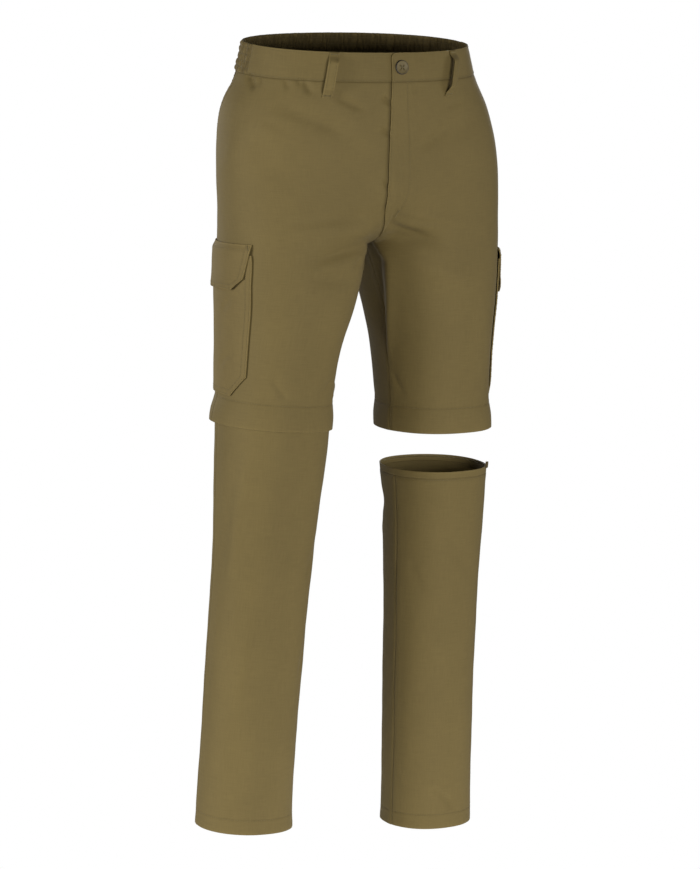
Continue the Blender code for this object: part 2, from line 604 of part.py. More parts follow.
def build_cargo_pocket(side):
    """The bag over the outseam, and the flap that covers its mouth."""
    name = SIDE_NAMES[side]
    top = POCKET_TOP[side]
    bag_top, bag_bottom = top - BAG_DROP, top - BAG_DROP - BAG_HEIGHT
    levels = np.concatenate([np.linspace(bag_top, bag_bottom + BAG_CORNER, BAG_ROWS),
                             bag_bottom + BAG_CORNER * np.array([0.5, 0.0])])
    front, back = bag_edges(side, levels)
    turn, level = rows_and_columns(levels, back, front, POCKET_COLUMNS)
    add_cloth("cargo_pocket_" + name, side, turn, level, bag_lift(side, turn, level))

    bottom = top - FLAP_HEIGHT
    levels = np.array([top, top - FLAP_SEAM / 2, top - FLAP_SEAM, *(top - FLAP_MIDDLE_ROWS * FLAP_HEIGHT),
                       bottom + FLAP_CORNER, bottom + FLAP_CORNER / 2, bottom])
    down = (top - levels) / FLAP_HEIGHT
    cut = FLAP_CORNER_TURN * (1 - np.clip((levels - bottom) / FLAP_CORNER, 0, 1))
    inset = FLAP_TAPER_TURN * down + cut - FLAP_OVERHANG_TURN
    turn, level = rows_and_columns(levels, BAG_BACK_TURNS[0] + inset, BAG_FRONT_TURNS[0] - inset,
                                   POCKET_COLUMNS)
    over_bag = bag_lift(side, turn, np.minimum(level, bag_top)) + LAYER_GAP
    seam = smooth(top, top - FLAP_SEAM, level)
    kick = FLAP_KICK * smooth(FLAP_KICK_STARTS, 1.0, down)[:, None]
    inner_lift = LAYER_GAP + (over_bag - LAYER_GAP) * seam + kick
    add_cloth("cargo_flap_" + name, side, turn, level, inner_lift + CLOTH)


def local_frame(side, turn, level, lift):
    """Matrix of a small fitting: X along the cloth, Y up it and Z outward."""
    origin = place(side, np.array(turn), np.array(level), lift)
    normal = outward(side, np.array(turn), np.array(level))
    across = np.cross([0.0, 0.0, 1.0], normal)
    across = across / np.linalg.norm(across)
    up = np.cross(normal, across)
    rows = [[across[i], up[i], normal[i], origin[i]] for i in range(3)]
    return Matrix([*rows, [0, 0, 0, 1]])


def build_button():
    """A four-hole button with a raised rim, on the lapped end of the waistband."""
    radius, dish = BUTTON_RADIUS, BUTTON_HEIGHT - BUTTON_DISH
    inside = radius - BUTTON_RIM
    profile = [(0.0, 0.0), (radius - BUTTON_ROUND, 0.0), (radius, BUTTON_ROUND),
               (radius, BUTTON_HEIGHT - BUTTON_ROUND), (radius - BUTTON_ROUND, BUTTON_HEIGHT),
               (inside, BUTTON_HEIGHT), (inside - BUTTON_DISH, dish), (0.0, dish)]
    work = bmesh.new()
    verts = [work.verts.new((r, 0, z)) for r, z in profile]
    edges = [work.edges.new(pair) for pair in zip(verts, verts[1:])]
    bmesh.ops.spin(work, geom=verts + edges, cent=(0, 0, 0), axis=(0, 0, 1), angle=2 * math.pi,
                     steps=BUTTON_STEPS)
    bmesh.ops.remove_doubles(work, verts=work.verts, dist=WELD)
    bmesh.ops.recalc_face_normals(work, faces=work.faces)
    mesh = bpy.data.meshes.new("button")
    work.to_mesh(mesh)
    work.free()

    holes = bmesh.new()
    for quarter in range(4):
        angle = math.radians(45 + 90 * quarter)
        spot = (BUTTON_HOLE_OFFSET * math.cos(angle), BUTTON_HOLE_OFFSET * math.sin(angle), dish / 2)
        bmesh.ops.create_cone(holes, segments=HOLE_STEPS, cap_ends=True, radius1=BUTTON_HOLE_RADIUS,
                              radius2=BUTTON_HOLE_RADIUS, depth=CUTTER_DEPTH,
                              matrix=Matrix.Translation(spot))
    hole_mesh = bpy.data.meshes.new("button_holes")
    holes.to_mesh(hole_mesh)
    holes.free()

    lap = float(turn_for(RIGHT, 1.0, BUTTON_LEVEL, BUTTON_FROM_EDGE - LAP_WIDTH))
    lift = BAND_PROUD + BAND_WALL + 2 * LAYER_GAP
    matrix = local_frame(LEFT, 1 - lap, BUTTON_LEVEL, lift)
    button = add_object("button", mesh, BUTTON_BROWN, PLASTIC_ROUGHNESS, matrix)
    cutter = add_object("button_hole_cutter", hole_mesh, BUTTON_BROWN, PLASTIC_ROUGHNESS, matrix)
    cutter.hide_render = True
    cutter.display_type = "WIRE"
    cut = button.modifiers.new("thread holes", "BOOLEAN")
    cut.object = cutter
    cut.operation = "DIFFERENCE"
    cut.solver = "EXACT"


def build_end_box():
    """The box that ends the zip on the detached leg's rim."""
    width, depth, height = END_BOX
    work = bmesh.new()
    bmesh.ops.create_cube(work, size=1, matrix=Matrix.Diagonal((width, height, depth, 1)))
    bmesh.ops.bevel(work, geom=work.edges, offset=END_BOX_BEVEL, segments=1, affect="EDGES")
    mesh = bpy.data.meshes.new("zip_end_box")
    work.to_mesh(mesh)
    work.free()
    matrix = local_frame(LEFT, END_BOX_TURN, END_BOX_LEVEL, depth / 2)
    add_object("zip_end_box", mesh, BOX_BLACK, PLASTIC_ROUGHNESS, matrix)


def main():
    """Clear the scene and build every piece under one empty."""
    for old in list(bpy.data.objects):
        bpy.data.objects.remove(old)
    garment = bpy.data.objects.new("trousers", None)
    bpy.context.scene.collection.objects.link(garment)
    for side in (RIGHT, LEFT):
        build_shorts(side)
        build_lower_leg(side)
        build_hip_facing(side)
        build_cargo_pocket(side)
    build_knee_zips()
    build_front_bands()
    build_elastic_band()
    build_fly_zip()
    build_belt_loops()
    build_button()
    build_end_box()


main()
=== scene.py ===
"""Looks of the convertible zip-off trousers: worn and hollow, with the left leg zipped off.

Metres, +Z up. The front faces -Y, the wearer's left is +X, and the origin is the centre of the
waist opening. Every piece of cloth is a thin shell on one body surface, given by a side, a turn
round the body and a level below the waist: turn 0 is the outseam, 1 the centre front or the
front inseam, and -1 the centre back or the back inseam.
"""
from __future__ import annotations

import logging
import math
from dataclasses import dataclass, field
from enum import Enum, IntEnum
from typing import Callable, NamedTuple, Sequence

import bmesh
import bpy
import numpy as np
from mathutils import Matrix, Vector


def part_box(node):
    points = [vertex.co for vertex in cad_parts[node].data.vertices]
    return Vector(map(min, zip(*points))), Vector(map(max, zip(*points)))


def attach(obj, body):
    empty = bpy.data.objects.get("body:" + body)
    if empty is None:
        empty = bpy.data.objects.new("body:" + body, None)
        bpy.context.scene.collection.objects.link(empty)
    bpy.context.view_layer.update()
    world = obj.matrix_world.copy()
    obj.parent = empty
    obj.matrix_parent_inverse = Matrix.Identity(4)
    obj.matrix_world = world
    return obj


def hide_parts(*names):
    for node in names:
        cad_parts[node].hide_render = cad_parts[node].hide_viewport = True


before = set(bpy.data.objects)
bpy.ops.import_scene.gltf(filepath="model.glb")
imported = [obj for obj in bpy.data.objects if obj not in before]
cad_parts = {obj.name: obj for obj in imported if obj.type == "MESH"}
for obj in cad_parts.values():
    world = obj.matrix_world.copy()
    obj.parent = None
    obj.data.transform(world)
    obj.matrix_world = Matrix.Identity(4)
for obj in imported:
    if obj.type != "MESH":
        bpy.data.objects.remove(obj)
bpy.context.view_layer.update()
LOG = logging.getLogger("trousers")
MM = 0.001
Array = np.ndarray
Number = float | Array


class Side(IntEnum):
    """The wearer's side, as the sign of X."""

    RIGHT = -1
    LEFT = 1

    @property
    def word(self) -> str:
        """Name used in the names of pieces."""
        return self.name.lower()


class Slot(Enum):
    """Material slots of the part's record."""

    CLOTH = "cloth"
    POCKET = "pocket_cloth"
    ELASTIC = "waist_elastic"
    TAPE = "zip_tape"
    ZIP = "zip_plastic"
    BUTTON = "button_plastic"


class EdgeKind(Enum):
    """How an edge of a panel is made up."""

    SEAM = "seam"
    FOLDED = "folded"
    RAW = "raw"


class Held(Enum):
    """How a sheet of cloth is carried."""

    HUNG = "hung"
    LAID = "laid"
    STRETCHED = "stretched"
    GATHERED = "gathered"


# Sizes shared by every piece


@dataclass(frozen=True)
class Cut:
    """Walls, gaps and levels of the cut; levels are metres below the waist edge."""

    cloth: float = 1.5 * MM
    tape: float = 1.2 * MM
    band_wall: float = 2.2 * MM
    seam_gap: float = 0.3 * MM
    layer_gap: float = 0.5 * MM
    lining_gap: float = 0.95 * MM
    bag_gap: float = 0.8 * MM
    band_bottom: float = -38 * MM
    band_proud: float = 0.6 * MM
    shorts_hem: tuple[float, float] = (-499 * MM, -514 * MM)
    leg_top: tuple[float, float] = (-485 * MM, -577 * MM)
    leg_hem: tuple[float, float] = (-1050 * MM, -1071 * MM)
    rim_top: float = -568 * MM
    lap_width: float = 7 * MM
    lap_low_width: float = 15 * MM
    lap_widens: tuple[float, float] = (-30 * MM, -175 * MM)
    lap_fade: tuple[float, float] = (0.86, 0.96)

    def of(self, pair: tuple[float, float], side: Side) -> float:
        """The right or the left value of a pair."""
        return pair[side == Side.LEFT]


CUT = Cut()


class TorsoSection(NamedTuple):
    """One level of the hips' oval."""

    level: float
    half_width: float
    front_depth: float
    back_depth: float
    seam_deg: float


class LegSection(NamedTuple):
    """One level of a leg's oval."""

    level: float
    centre_y: float
    front_depth: float
    back_depth: float
    outseam_deg: float
    inseam_deg: float
    tilt_y: float
    centre_x: float
    half_width: float
    tilt_x: float


class Crease(NamedTuple):
    """A soft ridge, or a trough below zero, along a line from a to b that may bow sideways."""

    side: Side
    turn_a: float
    level_a: float
    turn_b: float
    level_b: float
    reach: float
    height: float
    bow: float = 0.0


R, L = Side.RIGHT, Side.LEFT

TORSO = tuple(TorsoSection(*row) for row in (
    (0.010, 0.1515, 0.1140, 0.1080, 22),
    (-0.038, 0.1635, 0.1180, 0.1170, 22),
    (-0.080, 0.1820, 0.1175, 0.1290, 24),
    (-0.130, 0.1935, 0.1155, 0.1390, 26),
    (-0.180, 0.1975, 0.1125, 0.1430, 27),
    (-0.230, 0.1970, 0.1085, 0.1410, 26),
    (-0.280, 0.1965, 0.1060, 0.1320, 22),
    (-0.360, 0.1965, 0.1050, 0.1200, 16),
))
# Both legs' sections from the top down, then centre_x, half_width and tilt_x of the right and the left one
LEG_ROWS = (
    (-0.150, 0.008, 0.108, 0.112, 26, 0, 0.00, (0.0990, 0.0970, 0.00), (0.0990, 0.0970, 0.00)),
    (-0.262, 0.008, 0.104, 0.112, 22, 0, 0.00, (0.0990, 0.0970, 0.00), (0.0990, 0.0970, 0.00)),
    (-0.330, 0.000, 0.095, 0.102, 17, 10, 0.01, (0.1075, 0.0890, 0.03), (0.1015, 0.0885, 0.01)),
    (-0.400, -0.004, 0.086, 0.093, 14, 14, 0.02, (0.1225, 0.0765, 0.06), (0.1040, 0.0775, 0.00)),
    (-0.470, -0.004, 0.078, 0.085, 14, 14, 0.03, (0.1300, 0.0740, 0.07), (0.1065, 0.0740, 0.00)),
    (-0.535, 0.000, 0.074, 0.080, 14, 14, 0.03, (0.1330, 0.0720, 0.07), (0.1100, 0.0720, 0.00)),
    (-0.600, 0.008, 0.069, 0.075, 14, 14, 0.04, (0.1345, 0.0688, 0.07), (0.1155, 0.0680, 0.00)),
    (-0.700, 0.022, 0.063, 0.069, 14, 14, 0.05, (0.1360, 0.0650, 0.07), (0.1205, 0.0640, 0.00)),
    (-0.800, 0.036, 0.060, 0.064, 14, 14, 0.06, (0.1390, 0.0645, 0.07), (0.1250, 0.0620, 0.00)),
    (-0.900, 0.048, 0.058, 0.060, 14, 14, 0.06, (0.1420, 0.0640, 0.06), (0.1285, 0.0617, 0.00)),
    (-1.000, 0.058, 0.057, 0.058, 14, 14, 0.06, (0.1450, 0.0645, 0.05), (0.1320, 0.0616, 0.00)),
    (-1.080, 0.064, 0.057, 0.058, 14, 14, 0.06, (0.1455, 0.0670, 0.05), (0.1330, 0.0621, 0.00)),
)
RIGHT_LEG, LEFT_LEG = (tuple(LegSection(*row[:7], *row[leg]) for row in LEG_ROWS) for leg in (7, 8))
# The largest folds, the same as the solids'
FOLDS = tuple(Crease(*row) for row in (
    (L, 0.99, -0.206, 0.50, -0.242, 0.009, 0.0045),
    (L, 0.99, -0.226, 0.55, -0.272, 0.008, -0.0045),
    (L, 0.95, -0.262, 0.50, -0.315, 0.013, 0.0030),
    (L, 0.45, -0.085, 0.90, -0.140, 0.014, -0.0022),
    (R, 0.98, -0.206, 0.20, -0.250, 0.016, 0.0045),
    (R, 0.97, -0.236, 0.45, -0.285, 0.012, -0.0035),
    (R, 0.56, -0.070, 0.90, -0.175, 0.016, -0.0025),
    (R, 0.50, -0.075, 0.16, -0.180, 0.018, 0.0025),
    (R, 0.31, -0.520, 0.19, -0.740, 0.013, 0.0030),
    (R, 0.80, -0.560, 0.45, -0.640, 0.015, -0.0025),
    (L, 0.75, -0.640, 0.35, -0.720, 0.015, -0.0025),
    (R, -0.97, -0.230, -0.45, -0.285, 0.013, -0.0050),
    (L, -0.97, -0.238, -0.40, -0.300, 0.012, -0.0045),
    (R, -0.95, -0.268, -0.50, -0.320, 0.014, 0.0045),
    (L, -0.94, -0.275, -0.52, -0.335, 0.013, 0.0040),
    (R, -0.90, -0.560, -0.30, -0.535, 0.012, -0.0045),
    (R, -0.80, -0.600, -0.35, -0.625, 0.014, 0.0035),
    (L, -0.85, -0.615, -0.30, -0.640, 0.013, -0.0040),
    (L, -0.75, -0.665, -0.35, -0.650, 0.014, 0.0030),
))
# Smaller creases: tucks under the band, drags from the loops, the crotch, the seams and the hems
CREASES = tuple(Crease(*row) for row in (
    (R, 0.228, -0.035, 0.318, -0.056, 0.0036, -0.0034),
    (R, 0.306, -0.036, 0.335, -0.050, 0.0022, -0.0016),
    (R, 0.438, -0.036, 0.460, -0.052, 0.0026, -0.0018),
    (R, 0.494, -0.036, 0.506, -0.047, 0.0022, -0.0014),
    (R, 0.512, -0.034, 0.566, -0.059, 0.0040, -0.0024),
    (R, 0.635, -0.050, 0.840, -0.078, 0.0055, -0.0022, 0.003),
    (R, 0.380, -0.090, 0.500, -0.112, 0.0070, -0.0010),
    (R, 0.900, -0.058, 0.975, -0.070, 0.0036, -0.0024),
    (R, 0.885, -0.102, 0.965, -0.114, 0.0036, -0.0020),
    (R, 0.895, -0.176, 0.965, -0.188, 0.0036, -0.0022),
    (R, 0.860, -0.236, 0.500, -0.262, 0.0090, 0.0018, 0.010),
    (R, 0.470, -0.288, 0.860, -0.272, 0.0065, -0.0022, -0.012),
    (R, 0.500, -0.300, 0.760, -0.306, 0.0100, -0.0022),
    (R, 1.080, -0.215, 0.830, -0.300, 0.0110, 0.0028),
    (R, 0.400, -0.068, 0.740, -0.112, 0.0100, -0.0018),
    (R, 0.340, -0.100, 0.500, -0.200, 0.0140, -0.0014),
    (R, 0.640, -0.130, 0.930, -0.196, 0.0120, -0.0010, 0.006),
    (R, 0.935, -0.204, 0.280, -0.248, 0.0075, -0.0022, 0.004),
    (R, 0.990, -0.262, 0.760, -0.300, 0.0070, -0.0014),
    (R, 0.870, -0.274, 0.800, -0.290, 0.0034, -0.0020),
    (R, 0.770, -0.280, 0.700, -0.292, 0.0034, -0.0018),
    (R, 0.400, -0.430, 0.515, -0.462, 0.0042, -0.0014),
    (R, 0.810, -0.430, 0.650, -0.462, 0.0042, -0.0014),
    (R, 0.985, -0.415, 0.860, -0.462, 0.0045, -0.0012, 0.004),
    (R, 0.985, -0.436, 0.800, -0.470, 0.0040, 0.0010, 0.004),
    (R, 0.170, -0.330, 0.060, -0.352, 0.0050, -0.0008),
    (R, 0.200, -0.405, 0.020, -0.425, 0.0060, -0.0008, 0.004),
    (L, 0.660, -0.094, 0.905, -0.138, 0.0070, -0.0016, 0.003),
    (L, 0.560, -0.066, 0.700, -0.078, 0.0040, -0.0010),
    (L, 0.890, -0.040, 0.880, -0.056, 0.0035, -0.0010),
    (L, 1.080, -0.203, 0.480, -0.250, 0.0044, -0.0024, 0.006),
    (L, 1.080, -0.210, 0.620, -0.262, 0.0044, -0.0026, 0.007),
    (L, 0.960, -0.236, 0.760, -0.262, 0.0050, 0.0010, 0.004),
    (L, 0.835, -0.252, 1.030, -0.440, 0.0100, 0.0024),
    (L, 0.900, -0.040, 0.930, -0.190, 0.0080, 0.0006),
    (L, 0.990, -0.430, 0.880, -0.470, 0.0050, -0.0009),
    (L, 0.740, -1.004, 0.540, -1.040, 0.0055, 0.0014, 0.006),
    (L, 0.730, -1.010, 0.480, -1.052, 0.0045, -0.0020, 0.006),
    (L, 0.900, -0.690, 0.780, -0.740, 0.0090, -0.0009),
    (R, 0.950, -0.640, 0.740, -0.700, 0.0100, -0.0010),
    (R, 0.960, -0.760, 0.820, -0.860, 0.0080, -0.0010, 0.004),
    (R, 0.420, -0.700, 0.300, -0.930, 0.0140, 0.0010),
    (R, -0.990, -0.150, -0.640, -0.196, 0.0120, -0.0018, 0.010),
    (L, -0.990, -0.166, -0.600, -0.204, 0.0110, -0.0018, 0.010),
    (R, -0.500, -0.046, -0.460, -0.090, 0.0060, -0.0014),
    (L, -0.560, -0.046, -0.500, -0.084, 0.0060, -0.0014),
    (R, -0.860, -0.044, -0.830, -0.078, 0.0055, -0.0012),
    (L, -0.800, -0.044, -0.790, -0.082, 0.0055, -0.0012),
    (R, -0.985, -0.250, -0.720, -0.262, 0.0060, -0.0018, 0.004),
    (L, -0.985, -0.256, -0.700, -0.275, 0.0060, -0.0018, 0.004),
    (R, -0.620, -0.420, -0.300, -0.455, 0.0090, -0.0014, 0.006),
    (L, -0.700, -0.440, -0.360, -0.470, 0.0090, -0.0014, 0.006),
    (R, -0.700, -0.700, -0.400, -0.760, 0.0110, -0.0014, 0.008),
    (L, -0.680, -0.740, -0.380, -0.790, 0.0110, -0.0013, 0.008),
))


def smooth(start: Number, end: Number, value: Number) -> Number:
    """Ease from 0 at start to 1 at end."""
    t = np.clip((value - start) / (end - start), 0, 1)
    return t * t * (3 - 2 * t)


def bump(distance: Number, reach: float) -> Number:
    """A soft bell of height 1 that fades over reach."""
    return np.exp(-((distance / reach) ** 2))


@dataclass(frozen=True)
class BodyForm:
    """The surface that the cloth follows: an oval torso that parts into two legs."""

    crotch: float = -262 * MM
    front_rise_curve: float = 85 * MM
    back_rise_curve: float = 120 * MM
    waist_tilt: float = 0.095
    hip_lean: float = 8 * MM
    squareness: float = 2.15
    centre_share: tuple[float, float] = (0.45, 1.0)
    outer_blend: tuple[float, float] = (-0.10, -0.36)
    slant_blend: tuple[float, float] = (-0.28, -0.36)
    nudge: float = 1e-3
    arc: float = 0.24
    crease_gain: float = 1.5
    tuck_depth: float = 10 * MM
    tuck_middle: tuple[float, float] = (0.862, -0.285)
    tuck_slopes: tuple[float, float] = (1.2, 2.2)
    tuck_top: tuple[float, float] = (-0.231, -0.268)
    tuck_edge: tuple[float, float] = (-0.02, 0.06)
    back_tuck: tuple[float, float] = (0.70, 1.0)
    slow_drape: float = 0.45 * MM
    quick_drape: float = 0.16 * MM

    def column(self, table: Sequence[NamedTuple], name: str, level: Array) -> Array:
        """Read one named column of a section table at any level, on a smooth curve.

        Args:
            table: sections from the top down.
            name: the column's name.
            level: levels to read at.

        Returns:
            The column's values at those levels.
        """
        heights = np.array([row.level for row in table])[::-1]
        values = np.array([getattr(row, name) for row in table])[::-1]
        level = np.clip(level, heights[0], heights[-1])
        slope = np.gradient(values, heights)
        low = np.clip(np.searchsorted(heights, level, side="right") - 1, 0, len(heights) - 2)
        step = heights[low + 1] - heights[low]
        t = (level - heights[low]) / step
        start = (1 + 2 * t) * (1 - t) ** 2 * values[low] + t * (1 - t) ** 2 * step * slope[low]
        end = t * t * (3 - 2 * t) * values[low + 1] + t * t * (t - 1) * step * slope[low + 1]
        return start + end

    def oval(self, angle: Array, half_width: Array, front: Array, back: Array) -> tuple[Array, Array]:
        """Point of a rounded oval.

        Args:
            angle: 0 at the outer side, 90 degrees at the front.
            half_width: half the width.
            front, back: depths of both halves.

        Returns:
            The outward and the forward coordinate.
        """
        c, s = np.cos(angle), np.sin(angle)
        depth = np.where(s > 0, front, back)
        power = self.squareness
        radius = (np.abs(c / half_width) ** power + np.abs(s / depth) ** power) ** (-1 / power)
        return radius * c, -radius * s

    def lean(self, level: Array) -> Array:
        """Sideways shift of the hips and legs from the waist."""
        return self.hip_lean * smooth(-0.03, -0.21, level)

    def leg_point(self, table: Sequence[LegSection], turn: Array, level: Array) -> tuple[Array, ...]:
        """Point of one leg's oval.

        Args:
            table: the leg's sections.
            turn, level: places on the leg.

        Returns:
            Outward and forward coordinate, and the slant that is added to the height.
        """
        out = np.radians(self.column(table, "outseam_deg", level))
        inner = np.radians(self.column(table, "inseam_deg", level))
        angle = np.where(turn >= 0, turn * (math.pi - inner + out), turn * (math.pi + inner - out)) - out
        x, y = self.oval(angle, *(self.column(table, name, level)
                                  for name in ("half_width", "front_depth", "back_depth")))
        slant = self.column(table, "tilt_x", level) * x + self.column(table, "tilt_y", level) * y
        centre_x, centre_y = (self.column(table, name, level) for name in ("centre_x", "centre_y"))
        return x + centre_x, y + centre_y, slant * smooth(*self.slant_blend, level)

    @staticmethod
    def unwrap(side: Number, turn: Array) -> tuple[Array, Array]:
        """Carry a turn past the centre front or back over to the other side."""
        past = np.abs(turn) > 1
        return np.where(past, -side, side), np.where(past, np.sign(turn) * 2 - turn, turn)

    def skin(self, side: Number, turn: Number, level: Number) -> Array:
        """Point of the body surface that the cloth follows.

        Args:
            side, turn, level: places on the body.

        Returns:
            Points with X, Y and Z in the last axis.
        """
        turn, level = np.broadcast_arrays(np.asarray(turn, float), np.asarray(level, float))
        side, turn = self.unwrap(side, turn)
        seam = np.radians(self.column(TORSO, "seam_deg", level))
        quarter = math.pi / 2
        angle = np.where(turn >= 0, turn * (quarter + seam), turn * (quarter - seam)) - seam
        torso_x, torso_y = self.oval(angle, *(self.column(TORSO, name, level)
                                              for name in ("half_width", "front_depth", "back_depth")))
        legs = [self.leg_point(table, turn, level) for table in (RIGHT_LEG, LEFT_LEG)]
        leg_x, leg_y, slant = (np.where(side < 0, right, left) for right, left in zip(*legs))

        rise = np.where(turn >= 0, self.front_rise_curve, self.back_rise_curve)
        rise_top = self.crotch + rise
        swing = np.clip((rise_top - level) / rise, 0, 1) * math.pi / 2
        near_centre = smooth(*self.centre_share, np.abs(turn))
        outer_share = smooth(*self.outer_blend, level)
        leg_share = outer_share + (1 - np.cos(swing) - outer_share) * near_centre
        x = (1 - leg_share) * torso_x + leg_share * leg_x
        y = (1 - leg_share) * torso_y + leg_share * leg_y
        on_curve = (level > self.crotch) & (level < rise_top)
        centre_z = np.where(on_curve, rise_top - rise * np.sin(swing), level)
        z = level + (centre_z - level) * near_centre + slant
        z = z + self.waist_tilt * y * smooth(-0.20, 0.0, level)
        return np.stack([side * x + self.lean(level), y, z], -1)

    def outward(self, side: Number, turn: Array, level: Array) -> Array:
        """Unit normal of the body surface, pointing away from the body.

        Args:
            side, turn, level: places on the body.

        Returns:
            Normals with X, Y and Z in the last axis.
        """
        side, turn = self.unwrap(side, np.asarray(turn, float))
        high, low = np.minimum(turn + self.nudge, 1), np.maximum(turn - self.nudge, -1)
        round_body = self.skin(side, high, level) - self.skin(side, low, level)
        up_body = self.skin(side, turn, level + self.nudge) - self.skin(side, turn, level - self.nudge)
        normal = -np.cross(round_body, up_body) * np.expand_dims(side, -1)
        return normal / np.linalg.norm(normal, axis=-1, keepdims=True)

    def per_turn(self, side: Number, turn: Array, level: Array) -> Array:
        """Metres of cloth that one whole turn covers at a place."""
        inside = np.clip(turn, -1 + self.nudge, 1 - self.nudge)
        step = self.skin(side, inside + self.nudge, level) - self.skin(side, inside - self.nudge, level)
        return np.linalg.norm(step, axis=-1) / (2 * self.nudge)

    def turn_for(self, side: Number, turn: Number, level: Array, distance: Number) -> Array:
        """Change of turn that covers a distance along the cloth."""
        return distance / self.per_turn(side, np.asarray(turn, float), level)

    def relief(self, side: Number, turn: Array, level: Array) -> Array:
        """Height of all folds, creases and the slow drape over the body surface.

        Args:
            side, turn, level: places on the body.

        Returns:
            Heights in metres.
        """
        side, turn = self.unwrap(side, turn)
        height = np.zeros(np.broadcast(turn, level).shape)
        sides = set(np.unique(side).tolist())
        gains = (*[1.0] * len(FOLDS), *[self.crease_gain] * len(CREASES))
        for fold, gain in zip((*FOLDS, *CREASES), gains):
            if fold.side not in sides:
                continue
            run = np.array([(fold.turn_b - fold.turn_a) * self.arc, fold.level_b - fold.level_a])
            length = math.hypot(*run)
            across, down = (turn - fold.turn_a) * self.arc, level - fold.level_a
            along = np.clip((across * run[0] + down * run[1]) / length**2, 0, 1)
            bowed = (across * run[1] - down * run[0]) / length - fold.bow * 4 * along * (1 - along)
            beyond = np.hypot(across - along * run[0], down - along * run[1])
            inside = (along > 0) & (along < 1)
            gap = np.where(inside, np.abs(bowed), beyond)
            taper = smooth(0, 0.3, along) * smooth(1, 0.6, along)
            height = height + (side == fold.side) * gain * fold.height * taper * bump(gap, fold.reach)
        height = height - (side == L) * self.thigh_tuck(turn, level)
        across = turn * self.arc
        slow = np.sin(41 * across + 17 * level + side) * np.sin(29 * level - 23 * across)
        quick = np.sin(97 * across - 61 * level + 2 * side) * np.sin(83 * level + 31 * across)
        drape = self.slow_drape * slow + self.quick_drape * quick
        return height + drape * smooth(-0.04, -0.09, level)

    def thigh_tuck(self, turn: Array, level: Array) -> Array:
        """How far the inner side of the left thigh turns away from the front, below the crotch.

        Args:
            turn, level: places on the leg.

        Returns:
            Depths in metres.
        """
        middle_turn, middle_level = self.tuck_middle
        below, above = self.tuck_slopes
        away = middle_level - level
        start = middle_turn + np.where(away > 0, below * away, -above * away)
        first, full = (start + edge for edge in self.tuck_edge)
        front = smooth(first, full, turn)
        back = smooth(first, full, 1.0) * smooth(*self.back_tuck, -turn)
        return self.tuck_depth * (front + back) * smooth(*self.tuck_top, level)

    def place(self, side: Number, turn: Array, level: Array, *lifts: Number) -> list[Array]:
        """Points on the folded cloth, moved out by each lift and kept off the centre plane.

        Args:
            side, turn, level: places on the body.
            lifts: one or more distances out from the folded surface.

        Returns:
            One array of points for each lift.
        """
        base = self.skin(side, turn, level)
        normal = self.outward(side, turn, level)
        relief = self.relief(side, turn, level)
        centre = self.lean(level)
        placed = []
        for lift in lifts:
            point = base + normal * np.expand_dims(relief + lift, -1)
            own = np.maximum(side * (point[..., 0] - centre), CUT.seam_gap / 2)
            point[..., 0] = np.where(np.abs(turn) > 1, point[..., 0], side * own + centre)
            placed.append(point)
        return placed


BODY = BodyForm()


# Finishes


def linear(colour: str) -> tuple[float, float, float, float]:
    """Turn an sRGB hex colour into the linear values that shaders take."""
    channels = [int(colour[i:i + 2], 16) / 255 for i in (1, 3, 5)]
    return (*[c / 12.92 if c <= 0.04045 else ((c + 0.055) / 1.055) ** 2.4 for c in channels], 1.0)


def wire(tree: bpy.types.NodeTree, node: bpy.types.Node, links: dict[int | str, object]) -> None:
    """Fill a node's inputs.

    Args:
        tree: the material's node tree.
        node: the node.
        links: for each input, a socket to link or a value to set.
    """
    for name, value in links.items():
        if isinstance(value, bpy.types.NodeSocket):
            tree.links.new(value, node.inputs[name])
        else:
            node.inputs[name].default_value = value


def add_node(tree: bpy.types.NodeTree, kind: str, settings: dict[str, object] | None = None,
             links: dict[int | str, object] | None = None) -> bpy.types.Node:
    """Add a node with its settings and links.

    Args:
        tree: the material's node tree.
        kind: the node's type.
        settings: values of the node's own properties.
        links: for each input, a socket to link or a value to set.

    Returns:
        The new node.
    """
    node = tree.nodes.new(kind)
    for name, value in (settings or {}).items():
        setattr(node, name, value)
    wire(tree, node, links or {})
    return node


def new_material(name: str) -> tuple[bpy.types.Material, bpy.types.NodeTree, bpy.types.Node]:
    """An empty Principled material, with its tree and its shader."""
    material = bpy.data.materials.new(name)
    material.use_nodes = True
    return material, material.node_tree, material.node_tree.nodes["Principled BSDF"]


